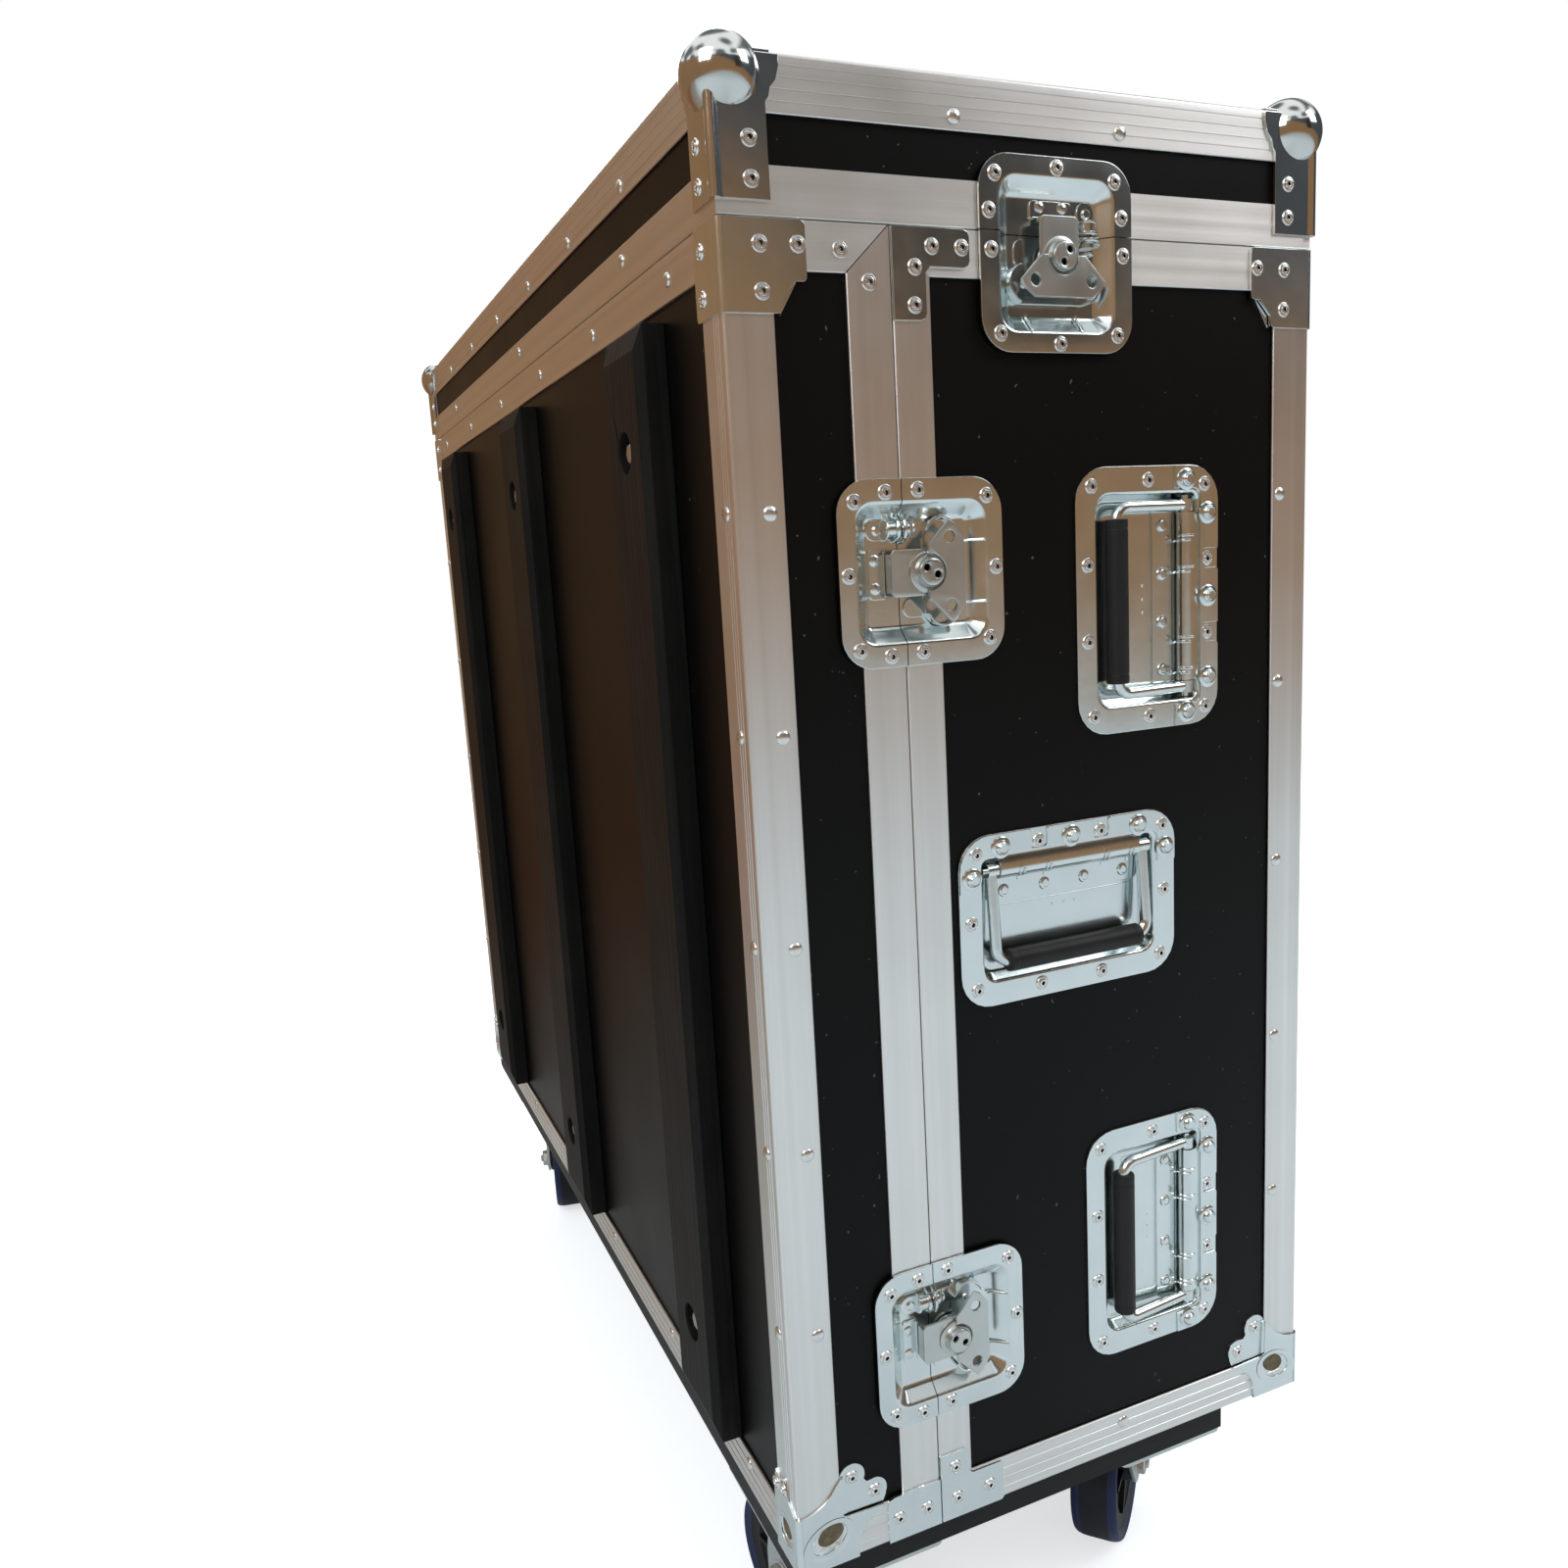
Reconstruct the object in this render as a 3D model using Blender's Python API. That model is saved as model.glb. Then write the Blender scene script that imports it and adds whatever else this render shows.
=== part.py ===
"""Flight case for a mixing desk, standing on end on a castor board.

Three shells of laminated ply in aluminium edge extrusions: a deep main shell, a shallow tray on its
left that carries three wooden skids, and a lid over both. Six recessed butterfly latches close them.
Six recessed sprung handles lift the case, and four swivel castors roll it.

Case coordinates: x from the left face, y from the front end, z from the underside of the shells.
An empty carries them to the world, whose origin is on the floor under the middle of the case.
"""

import math

import bmesh
import bpy
from mathutils import Matrix, Vector

# Overall sizes of the closed shells
CASE_WIDTH = 0.410
CASE_LENGTH = 1.010
BODY_HEIGHT = 0.810
LID_HEIGHT = 0.0815
TRAY_DEPTH = 0.102

# Clearances: between touching pieces, and either side of a split line
FIT = 0.0003
SPLIT = 0.0003

# Laminated ply panels, set back from the outer face of the extrusions
PANEL = 0.009
PANEL_INSET = 0.0021

# Aluminium extrusions: sheet thickness, corner leg, and the closing rims' visible widths
ALU = 0.0018
CORNER_LEG = 0.030
TRAY_RIM = 0.0278
MAIN_RIM = 0.0245
BODY_TOP_RIM = 0.0265
LID_RIM = 0.026
RIM_WEB = 0.0045
RIM_INNER_LEG = 0.012
TONGUE = 0.003
TONGUE_WIDTH = 0.0036
TONGUE_DEPTH = 0.0048

# Bent steel brackets and corners on the extrusions
STEEL = 0.0015
BRACKET_WIDTH = 0.050
BRACKET_DROP = 0.049
BRACKET_STEM = 0.034
BRACKET_ARM = 0.032
SPLIT_BRACKET_REACH = 0.050
SPLIT_BRACKET_ARM = 0.021
SPLIT_PLATE_REACH = 0.040
DISHED_CORNER = 0.060
DISHED_CORNER_NECK = 0.034

# Ball corners of the lid
BALL_RADIUS = 0.0215
BALL_INSET = 0.0105
BALL_LEG_WIDTH = 0.030
BALL_LEG_GAP = 0.008

# Recessed butterfly latch, measured from the split line it closes
LATCH_LENGTH = 0.107
LATCH_MAIN = 0.067
LATCH_KEEPER = 0.042
LATCH_CORNER = 0.020
LATCH_PAN_LENGTH = 0.0775
LATCH_PAN_MAIN = 0.054
LATCH_PAN_KEEPER = 0.0292
LATCH_PAN_DEPTH = 0.0065
LATCH_PAN_SLOPE = 0.008
PAN_CORNER = 0.009
COLLAR_INSET = 0.004
HUB_FROM_SPLIT = 0.0139
HUB_RADIUS = 0.012
CAP_RADIUS = 0.008
CAP_RISE = 0.0028
STEM_RADIUS = 0.0065
WING_WAIST = 0.0153
WING_REACH = 0.0322
WING_TIP_START = 66
WING_TIP_END = 57
WING_CORNER_REACH = 0.0302
WING_CORNER = 41
WING_THICKNESS = 0.002
WING_HOOK_GAP = 0.0017
HOOK_OVER_FLANGE = 0.0022
HOOK_THICKNESS = 0.0016
HOOK_WIDTH = 0.027
HOOK_REACH = 0.0234
HOOK_NOSE = 0.0025
HOOK_NOSE_GAP = 0.0015
HOOK_TAIL = 0.019
HOOK_TRAVEL = 0.007
STRIKE_WIDTH = 0.029
STRIKE_LENGTH = 0.012
STRIKE_FROM_SPLIT = 0.007
STRIKE_PLATE = 0.0015

# Latch places: drop from the lid split, height over the underside, distance from the upright split
LATCH_HIGH_DROP = 0.190
LATCH_LOW_HEIGHT = 0.133
TOP_LATCH_FROM_SPLIT = 0.1106

# Recessed sprung handle
HANDLE_WIDTH = 0.111
HANDLE_LENGTH = 0.166
HANDLE_CORNER = 0.022
HANDLE_PAN_WIDTH = 0.078
HANDLE_PAN_LENGTH = 0.131
HANDLE_PAN_DEPTH = 0.007
HANDLE_PAN_SLOPE = 0.003
HINGE_END_CORNER = 0.004
HINGE_FROM_WALL = 0.0075
HINGE_DEPTH = 0.0013
HINGE_PIN_RADIUS = 0.002
BARREL_RADIUS = 0.0047
LEAF_WIDTH = 0.018
LEAF_END_GAP = 0.0075
ROD_RADIUS = 0.0038
BAIL_BEND = 0.007
BAIL_END_GAP = 0.0037
BAIL_TILT = math.radians(5)
EYE_RADIUS = 0.0048
EYE_PLAY = 0.0015
GRIP_RADIUS = 0.0072
GRIP_WALL_GAP = 0.005

# Handle places: the upright ones off the middle between latch and corner leg, the flat one from the
# upright split and with this share of the free height under it
HANDLE_OFFSET = 0.0042
HANDLE_HIGH_DROP = 0.216
HANDLE_LOW_HEIGHT = 0.159
HANDLE_FLAT_FROM_SPLIT = 0.1129
HANDLE_FLAT_SHARE = 0.668

# Wooden skids on the tray
SKID_WIDTH = 0.076
SKID_THICKNESS = 0.0193
SKID_CHAMFER = 0.005
SKID_END_SLOPE = 3.0
SKID_FROM_FRONT = 0.100
SKID_FROM_BACK = 0.130
SKID_TOP_CLEARANCE = 0.008
SKID_FOOT_CLEARANCE = 0.001
SKID_HOLE_FROM_END = 0.072
SKID_COUNTERBORE = 0.013
SKID_COUNTERBORE_DEPTH = 0.009

# Foam pad glued under the lid
LID_FOAM = 0.015
FOAM_GAP = 0.006

# Castor board
BOARD_THICKNESS = 0.018
BOARD_LEFT = 0.002
BOARD_RIGHT = 0.344
BOARD_END_INSET = 0.004

# Castors
CASTOR_TRAIL = 0.038
CASTOR_PLATE_LENGTH = 0.105
CASTOR_PLATE_WIDTH = 0.085
CASTOR_PLATE_THICKNESS = 0.003
RACE_RADIUS = 0.030
RACE_HEIGHT = 0.009
CROWN_THICKNESS = 0.004
KING_PIN_RADIUS = 0.006
KING_HEAD_RADIUS = 0.010
KING_HEAD_HEIGHT = 0.006
FORK_SHEET = 0.003
FORK_FRONT = 0.026
FORK_BACK = 0.046
FORK_SHROUD = 0.034
FORK_EYE = 0.016
FORK_FOOT = 0.010
FORK_HEEL = 0.012
AXLE_RADIUS = 0.006
NUT_RADIUS = 0.010
NUT_HEIGHT = 0.006
WHEEL_RADIUS = 0.0625
WHEEL_WIDTH = 0.036
WHEEL_HUB_LENGTH = 0.044
WHEEL_HUB_PLAY = 0.0005
WHEEL_HUB_RADIUS = 0.016
WHEEL_WEB = 0.026
TYRE_DEPTH = 0.0205
TYRE_CROWN = 0.003
TYRE_SHOULDER = 0.009
WHEEL_SIDES = 20
CASTOR_FROM_LEFT = 0.062
CASTOR_FROM_RIGHT = 0.048
CASTOR_FROM_END = 0.090
FRONT_LEFT_SWIVEL = math.radians(102)
FRONT_RIGHT_SWIVEL = math.radians(42)
BACK_LEFT_SWIVEL = math.radians(258)
BACK_RIGHT_SWIVEL = math.radians(228)

# Brake pedal, over the trailing side of a front castor
PEDAL_PIVOT_X = 0.036
PEDAL_PIN_RADIUS = 0.003
PEDAL_BARREL_RADIUS = 0.0055
PEDAL_CROWN_GAP = 0.0007
PEDAL_WHEEL_GAP = 0.002
PEDAL_LENGTH = 0.060
PEDAL_SLOPE = 0.012
PEDAL_LIP = 0.004
PEDAL_WIDTH = 0.034
PEDAL_SHEET = 0.003

# Worked out from the above
RIM_DEPTH = PANEL_INSET + PANEL + FIT + ALU
GROOVE_DEPTH = TONGUE - 2 * SPLIT + FIT
SKID_REACH = SKID_THICKNESS - PANEL_INSET + FIT
BALL_REACH = BALL_RADIUS - BALL_INSET

FLANGE_FRONT = -FIT - STEEL
HOOK_FACE = FLANGE_FRONT - HOOK_OVER_FLANGE
WING_BACK = HOOK_FACE - WING_HOOK_GAP

ARM_LENGTH = HANDLE_PAN_WIDTH - HINGE_FROM_WALL - GRIP_RADIUS - GRIP_WALL_GAP
HALF_BAIL = HANDLE_PAN_LENGTH / 2 - BAIL_END_GAP - ROD_RADIUS
HALF_BARREL = HALF_BAIL - ROD_RADIUS - EYE_PLAY

CROWN_TOP = CASTOR_PLATE_THICKNESS + RACE_HEIGHT + FIT
PEDAL_PIVOT_DROP = CROWN_TOP + CROWN_THICKNESS + PEDAL_CROWN_GAP + PEDAL_BARREL_RADIUS
AXLE_DROP = PEDAL_PIVOT_DROP + PEDAL_BARREL_RADIUS + PEDAL_WHEEL_GAP + WHEEL_RADIUS
FORK_GAP = WHEEL_HUB_LENGTH + 2 * WHEEL_HUB_PLAY
SHELL_HEIGHT = AXLE_DROP + WHEEL_RADIUS + BOARD_THICKNESS + FIT
LATCH_MIDDLES = {
    "upper": BODY_HEIGHT - LATCH_HIGH_DROP,
    "lower": LATCH_LOW_HEIGHT,
}

FAR = 5.0
CIRCLE_SIDES = 12
SHARP_EDGE = math.radians(35)

X, Y, Z = Vector((1, 0, 0)), Vector((0, 1, 0)), Vector((0, 0, 1))

# Turns for a prism: an outline in XZ drawn along Y, and one in YZ drawn along X
DRAWN_ALONG_Y = Matrix(((1, 0, 0, 0), (0, 0, 1, 0), (0, 1, 0, 0), (0, 0, 0, 1)))
DRAWN_ALONG_X = Matrix(((0, 0, 1, 0), (1, 0, 0, 0), (0, 1, 0, 0), (0, 0, 0, 1)))


def finish(name, colour, roughness, metallic):
    """A Principled material."""
    material = bpy.data.materials.new(name)
    material.use_nodes = True
    shader = material.node_tree.nodes["Principled BSDF"]
    shader.inputs["Base Color"].default_value = (*colour, 1.0)
    shader.inputs["Roughness"].default_value = roughness
    shader.inputs["Metallic"].default_value = metallic
    material.diffuse_color = (*colour, 1.0)
    return material


def closed(bm):
    """A mesh from an edit mesh, with its faces turned outwards."""
    bmesh.ops.recalc_face_normals(bm, faces=bm.faces)
    mesh = bpy.data.meshes.new("shape")
    bm.to_mesh(mesh)
    bm.free()
    return mesh


def prism(outline, bottom, top, turn=None, top_outline=None):
    """An outline in the XY plane drawn out along Z, to one of another size if given, then turned."""
    bm = bmesh.new()
    lower = [bm.verts.new((x, y, bottom)) for x, y in outline]
    upper = [bm.verts.new((x, y, top)) for x, y in top_outline or outline]
    bm.faces.new(lower)
    bm.faces.new(upper)
    for i in range(len(outline)):
        bm.faces.new((lower[i - 1], lower[i], upper[i], upper[i - 1]))
    if turn is not None:
        bmesh.ops.transform(bm, matrix=turn, verts=bm.verts)
    return closed(bm)


def block(low, high):
    """A rectangular block between two corners."""
    (x0, y0, z0), (x1, y1, z1) = low, high
    return prism([(x0, y0), (x1, y0), (x1, y1), (x0, y1)], z0, z1)


def polar(radius, degrees, centre=(0, 0)):
    """The point at a distance and a direction from a centre."""
    angle = math.radians(degrees)
    return (centre[0] + radius * math.cos(angle), centre[1] + radius * math.sin(angle))


def arc(centre, radius, start, end, steps):
    """Points along a circular arc, in degrees, both ends included."""
    return [polar(radius, start + (end - start) * i / steps, centre) for i in range(steps + 1)]


def circle(radius, centre=(0, 0), sides=CIRCLE_SIDES):
    """A closed round outline."""
    return arc(centre, radius, 0, 360, sides)[:-1]


def rounded(low, high, radii, steps=3):
    """A rectangle whose corners, from the low-low one anticlockwise, have their own radii."""
    (x0, y0), (x1, y1) = low, high
    corners = [
        ((x0, y0), (1, 1), 180),
        ((x1, y0), (-1, 1), 270),
        ((x1, y1), (-1, -1), 0),
        ((x0, y1), (1, -1), 90),
    ]
    outline = []
    for (corner, side, start), radius in zip(corners, radii):
        if radius:
            centre = (corner[0] + side[0] * radius, corner[1] + side[1] * radius)
            outline += arc(centre, radius, start, start + 90, steps)
        else:
            outline.append(corner)
    return outline


def combined(mesh, others, operation):
    """One mesh changed by all the others in a single exact Boolean."""
    base = bpy.data.objects.new("base", mesh)
    bpy.context.scene.collection.objects.link(base)
    tools = bpy.data.collections.new("tools")
    bpy.context.scene.collection.children.link(tools)
    for other in others:
        tools.objects.link(bpy.data.objects.new("tool", other))
    step = base.modifiers.new("step", "BOOLEAN")
    step.operation = operation
    step.solver = "EXACT"
    step.operand_type = "COLLECTION"
    step.collection = tools
    depsgraph = bpy.context.evaluated_depsgraph_get()
    result = bpy.data.meshes.new_from_object(base.evaluated_get(depsgraph))
    for spent in [base, *tools.objects]:
        bpy.data.objects.remove(spent)
    bpy.data.collections.remove(tools)
    return result


def join(mesh, *others):
    """Several overlapping shapes as one body."""
    return combined(mesh, others, "UNION")


def cut(mesh, *others):
    """A shape with others taken out of it."""
    return combined(mesh, others, "DIFFERENCE")


def moved(mesh, matrix):
    """A copy of a shape, carried by a matrix."""
    copy = mesh.copy()
    copy.transform(matrix)
    if matrix.determinant() < 0:
        copy.flip_normals()
    return copy


def frame_of(origin, across, inward):
    """Axes of a fitting: its X across, its Z into the case."""
    along = inward.cross(across)
    turn = Matrix((across, along, inward)).transposed().to_4x4()
    return Matrix.Translation(origin) @ turn


def place(name, mesh, material, matrix=None, parent=None):
    """A named piece of the case, sitting in its parent's frame."""
    piece = bpy.data.objects.new(name, mesh)
    if not mesh.materials:
        mesh.materials.append(material)
        mesh.shade_smooth()
        mesh.set_sharp_from_angle(angle=SHARP_EDGE)
    bpy.context.scene.collection.objects.link(piece)
    piece.parent = parent
    piece.matrix_local = matrix or Matrix.Identity(4)
    return piece


def empty(name, matrix, parent=None):
    """A guide that only carries other pieces."""
    guide = bpy.data.objects.new(name, None)
    bpy.context.scene.collection.objects.link(guide)
    guide.parent = parent
    guide.matrix_local = matrix
    return guide


def ends():
    """The two ends of the case: name, y of the face, and the direction into the case."""
    return (("front", 0.0, Y), ("back", CASE_LENGTH, -Y))


def latch_frames():
    """Frame of each latch on its split line, X running from the keeper to the main dish."""
    frames = {}
    for end, y, inward in ends():
        for level, z in LATCH_MIDDLES.items():
            frames[f"{end}_{level}"] = frame_of((TRAY_DEPTH, y, z), X, inward)
        top = (TRAY_DEPTH + TOP_LATCH_FROM_SPLIT, y, BODY_HEIGHT)
        frames[f"{end}_top"] = frame_of(top, -Z, inward)
    return frames


def handle_frames():
    """Frame of each handle on the panel face, X running from its hinge to its grip."""
    frames = {}
    x = (TRAY_DEPTH + LATCH_MAIN + CASE_WIDTH - CORNER_LEG) / 2 + HANDLE_OFFSET
    flat_x = TRAY_DEPTH + HANDLE_FLAT_FROM_SPLIT
    high, low = BODY_HEIGHT - HANDLE_HIGH_DROP, HANDLE_LOW_HEIGHT
    free = high - low - HANDLE_LENGTH - HANDLE_WIDTH
    flat = low + (HANDLE_LENGTH + HANDLE_WIDTH) / 2 + free * HANDLE_FLAT_SHARE
    for end, y, inward in ends():
        face = Vector((0, y, 0)) + inward * PANEL_INSET
        frames[f"{end}_upper"] = frame_of(face + Vector((x, 0, high)), -X, inward)
        frames[f"{end}_middle"] = frame_of(face + Vector((flat_x, 0, flat)), -Z, inward)
        frames[f"{end}_lower"] = frame_of(face + Vector((x, 0, low)), -X, inward)
    return frames


def latch_hole():
    """Room for a latch pan, right through rims and panels."""
    grow = STEEL + FIT
    half = LATCH_PAN_LENGTH / 2 + grow
    low = (-LATCH_PAN_KEEPER - grow, -half, -PANEL)
    return block(low, (LATCH_PAN_MAIN + grow, half, max(RIM_DEPTH, LATCH_PAN_DEPTH + STEEL) + FIT))


def handle_hole():
    """Room for a handle pan, right through a panel."""
    half_width = HANDLE_PAN_WIDTH / 2 + STEEL + FIT
    half_length = HANDLE_PAN_LENGTH / 2 + STEEL + FIT
    low = (-half_width, -half_length, -PANEL)
    return block(low, (half_width, half_length, max(PANEL, HANDLE_PAN_DEPTH + STEEL) + FIT))


def latch_collars(wanted, keeper):
    """Spacers under the flanges of the wanted latches; they carry the cut rims past the pans."""
    half = LATCH_LENGTH / 2 - COLLAR_INSET
    low, high = SPLIT, LATCH_MAIN - COLLAR_INSET
    if keeper:
        low, high = COLLAR_INSET - LATCH_KEEPER, -SPLIT
    collar = block((low, -half, 0), (high, half, ALU))
    frames = latch_frames()
    return [moved(collar, frames[name]) for name in frames if name.endswith(wanted)]


def latch_holes(wanted):
    """The holes of the latches whose names end in one of the wanted words."""
    frames = latch_frames()
    return [moved(latch_hole(), frames[name]) for name in frames if name.endswith(wanted)]


def wall_ring(low, high, inner_low, inner_high):
    """What is left of a block when an inner block is taken out."""
    return cut(block(low, high), block(inner_low, inner_high))


def tray_frame():
    """Edge extrusions of the tray, with the groove that takes the main shell's tongue."""
    edge, top = TRAY_DEPTH - SPLIT, BODY_HEIGHT - SPLIT
    length, leg = CASE_LENGTH, CORNER_LEG
    sheet = wall_ring((0, 0, 0), (edge, length, top), (ALU, ALU, ALU), (FAR, length - ALU, FAR))
    windows = [
        block((leg, -FAR, leg), (TRAY_DEPTH - TRAY_RIM, length + FAR, BODY_HEIGHT - BODY_TOP_RIM)),
        block((-FAR, leg, leg), (leg / 2, length - leg, BODY_HEIGHT - BODY_TOP_RIM)),
        block((leg, leg, -FAR), (TRAY_DEPTH - TRAY_RIM, length - leg, leg / 2)),
    ]
    sheet = cut(sheet, *windows)
    inner = RIM_DEPTH
    side_web = wall_ring(
        (edge - RIM_WEB, 0, 0), (edge, length, top), (0, inner, inner), (FAR, length - inner, FAR)
    )
    side_leg = wall_ring(
        (edge - RIM_INNER_LEG, inner - ALU, inner - ALU),
        (edge, length - inner + ALU, top),
        (0, inner, inner),
        (FAR, length - inner, FAR),
    )
    top_web = wall_ring(
        (0, 0, top - RIM_WEB), (edge, length, top), (inner, inner, 0), (FAR, length - inner, FAR)
    )
    top_leg = wall_ring(
        (inner - ALU, inner - ALU, top - RIM_INNER_LEG),
        (edge, length - inner + ALU, top),
        (inner, inner, 0),
        (FAR, length - inner, FAR),
    )
    collars = latch_collars(("upper", "lower"), keeper=True)
    shape = join(sheet, side_web, side_leg, top_web, top_leg, *collars)
    near, deep = TONGUE_DEPTH - FIT, TONGUE_DEPTH + TONGUE_WIDTH + FIT
    groove = wall_ring(
        (edge - GROOVE_DEPTH, near, near),
        (FAR, length - near, FAR),
        (0, deep, deep),
        (FAR, length - deep, FAR),
    )
    shape = cut(shape, groove, *latch_holes(("upper", "lower")))
    return join(shape, *tray_brackets())


def tray_brackets():
    """Steel corners and plates of the tray, bent or flat sheet laid on the extrusions."""
    proud, sunk, top, edge = STEEL, ALU / 2, BODY_HEIGHT - SPLIT, TRAY_DEPTH - SPLIT
    plates = []
    for front, back in ((-proud, sunk), (CASE_LENGTH - sunk, CASE_LENGTH + proud)):
        plates += [
            block((-proud, front, top - BRACKET_ARM), (BRACKET_WIDTH, back, top - FIT)),
            block((-proud, front, top - BRACKET_DROP), (BRACKET_STEM, back, top - BRACKET_ARM / 2)),
            block((-proud, front, 0), (DISHED_CORNER, back, DISHED_CORNER_NECK)),
            block((-proud, front, 0), (DISHED_CORNER_NECK, back, DISHED_CORNER)),
            block((edge - SPLIT_PLATE_REACH, front, 0), (edge, back, CORNER_LEG)),
        ]
    for low, high in ((0, BRACKET_STEM), (CASE_LENGTH - BRACKET_STEM, CASE_LENGTH)):
        plates.append(block((-proud, low, top - BRACKET_DROP), (sunk, high, top - FIT)))
        plates.append(block((-proud, low, 0), (sunk, high, DISHED_CORNER)))
    return plates


def main_frame():
    """Edge extrusions of the main shell, with a tongue on both closing rims."""
    edge, top = TRAY_DEPTH + SPLIT, BODY_HEIGHT - SPLIT
    width, length, leg = CASE_WIDTH, CASE_LENGTH, CORNER_LEG
    sheet = wall_ring(
        (edge, 0, 0), (width, length, top), (0, ALU, ALU), (width - ALU, length - ALU, FAR)
    )
    rim, rim_top = TRAY_DEPTH + MAIN_RIM, BODY_HEIGHT - BODY_TOP_RIM
    windows = [
        block((rim, -FAR, leg), (width - leg, length + FAR, rim_top)),
        block((width - leg / 2, leg, leg), (width + FAR, length - leg, rim_top)),
        block((rim, leg, -FAR), (width - leg, length - leg, leg / 2)),
    ]
    sheet = cut(sheet, *windows)
    inner = RIM_DEPTH
    side_web = wall_ring(
        (edge, 0, 0), (edge + RIM_WEB, length, top), (0, inner, inner), (FAR, length - inner, FAR)
    )
    side_leg = wall_ring(
        (edge, inner - ALU, inner - ALU),
        (edge + RIM_INNER_LEG, length - inner + ALU, top),
        (0, inner, inner),
        (FAR, length - inner, FAR),
    )
    top_web = wall_ring(
        (edge, 0, top - RIM_WEB),
        (width, length, top),
        (0, inner, 0),
        (width - inner, length - inner, FAR),
    )
    top_leg = wall_ring(
        (edge, inner - ALU, top - RIM_INNER_LEG),
        (width - inner + ALU, length - inner + ALU, top),
        (0, inner, 0),
        (width - inner, length - inner, FAR),
    )
    near, deep = TONGUE_DEPTH, TONGUE_DEPTH + TONGUE_WIDTH
    side_tongue = wall_ring(
        (edge - TONGUE, near, near),
        (edge + ALU, length - near, top - inner),
        (0, deep, deep),
        (FAR, length - deep, FAR),
    )
    top_tongue = wall_ring(
        (edge + inner, near, top - ALU),
        (width - near, length - near, top + TONGUE),
        (0, deep, 0),
        (width - deep, length - deep, FAR),
    )
    collars = latch_collars(("upper", "lower", "top"), keeper=False)
    shape = join(sheet, side_web, side_leg, top_web, top_leg, side_tongue, top_tongue, *collars)
    shape = cut(shape, *latch_holes(("upper", "lower", "top")))
    return join(shape, *main_brackets())


def main_brackets():
    """Steel corners and split brackets of the main shell."""
    proud, sunk, top, width = STEEL, ALU / 2, BODY_HEIGHT - SPLIT, CASE_WIDTH
    edge, side = TRAY_DEPTH + SPLIT, CASE_WIDTH + STEEL
    reach, arm = edge + SPLIT_BRACKET_REACH, SPLIT_BRACKET_ARM
    plates = []
    for front, back in ((-proud, sunk), (CASE_LENGTH - sunk, CASE_LENGTH + proud)):
        plates += [
            block((width - BRACKET_WIDTH, front, top - BRACKET_ARM), (side, back, top - FIT)),
            block((width - BRACKET_STEM, front, top - BRACKET_DROP), (side, back, top - arm)),
            block((width - DISHED_CORNER, front, 0), (side, back, DISHED_CORNER_NECK)),
            block((width - DISHED_CORNER_NECK, front, 0), (side, back, DISHED_CORNER)),
            block((edge, front, top - arm), (reach, back, top - FIT)),
            block((edge, front, top - SPLIT_BRACKET_REACH), (edge + arm, back, top - ALU)),
            block((edge, front, 0), (reach, back, CORNER_LEG)),
            block((edge, front, 0), (edge + arm, back, SPLIT_BRACKET_REACH)),
        ]
    for low, high in ((0, BRACKET_STEM), (CASE_LENGTH - BRACKET_STEM, CASE_LENGTH)):
        plates.append(block((width - sunk, low, top - BRACKET_DROP), (side, high, top - FIT)))
        plates.append(block((width - sunk, low, 0), (side, high, DISHED_CORNER)))
    return plates


def lid_frame():
    """Edge extrusions of the lid, with the groove under its rim and the four ball corners."""
    low, top = BODY_HEIGHT + SPLIT, BODY_HEIGHT + LID_HEIGHT
    width, length, leg, inner = CASE_WIDTH, CASE_LENGTH, CORNER_LEG, RIM_DEPTH
    sheet = wall_ring(
        (0, 0, low), (width, length, top), (ALU, ALU, 0), (width - ALU, length - ALU, top - ALU)
    )
    rim, under = BODY_HEIGHT + LID_RIM, top - leg
    windows = [
        block((leg, -FAR, rim), (width - leg, length + FAR, under)),
        block((-FAR, leg, rim), (width + FAR, length - leg, under)),
        block((leg, leg, top - leg / 2), (width - leg, length - leg, top + FAR)),
    ]
    sheet = cut(sheet, *windows)
    web = wall_ring(
        (0, 0, low),
        (width, length, low + RIM_WEB),
        (inner, inner, 0),
        (width - inner, length - inner, FAR),
    )
    inner_leg = wall_ring(
        (inner - ALU, inner - ALU, low),
        (width - inner + ALU, length - inner + ALU, low + RIM_INNER_LEG),
        (inner, inner, 0),
        (width - inner, length - inner, FAR),
    )
    near, deep = TONGUE_DEPTH - FIT, TONGUE_DEPTH + TONGUE_WIDTH + FIT
    groove = wall_ring(
        (near, near, 0),
        (width - near, length - near, low + GROOVE_DEPTH),
        (deep, deep, -FAR),
        (width - deep, length - deep, FAR),
    )
    collars = latch_collars(("top",), keeper=True)
    shape = cut(join(sheet, web, inner_leg, *collars), groove, *latch_holes(("top",)))
    return join(shape, *ball_corners())


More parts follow.
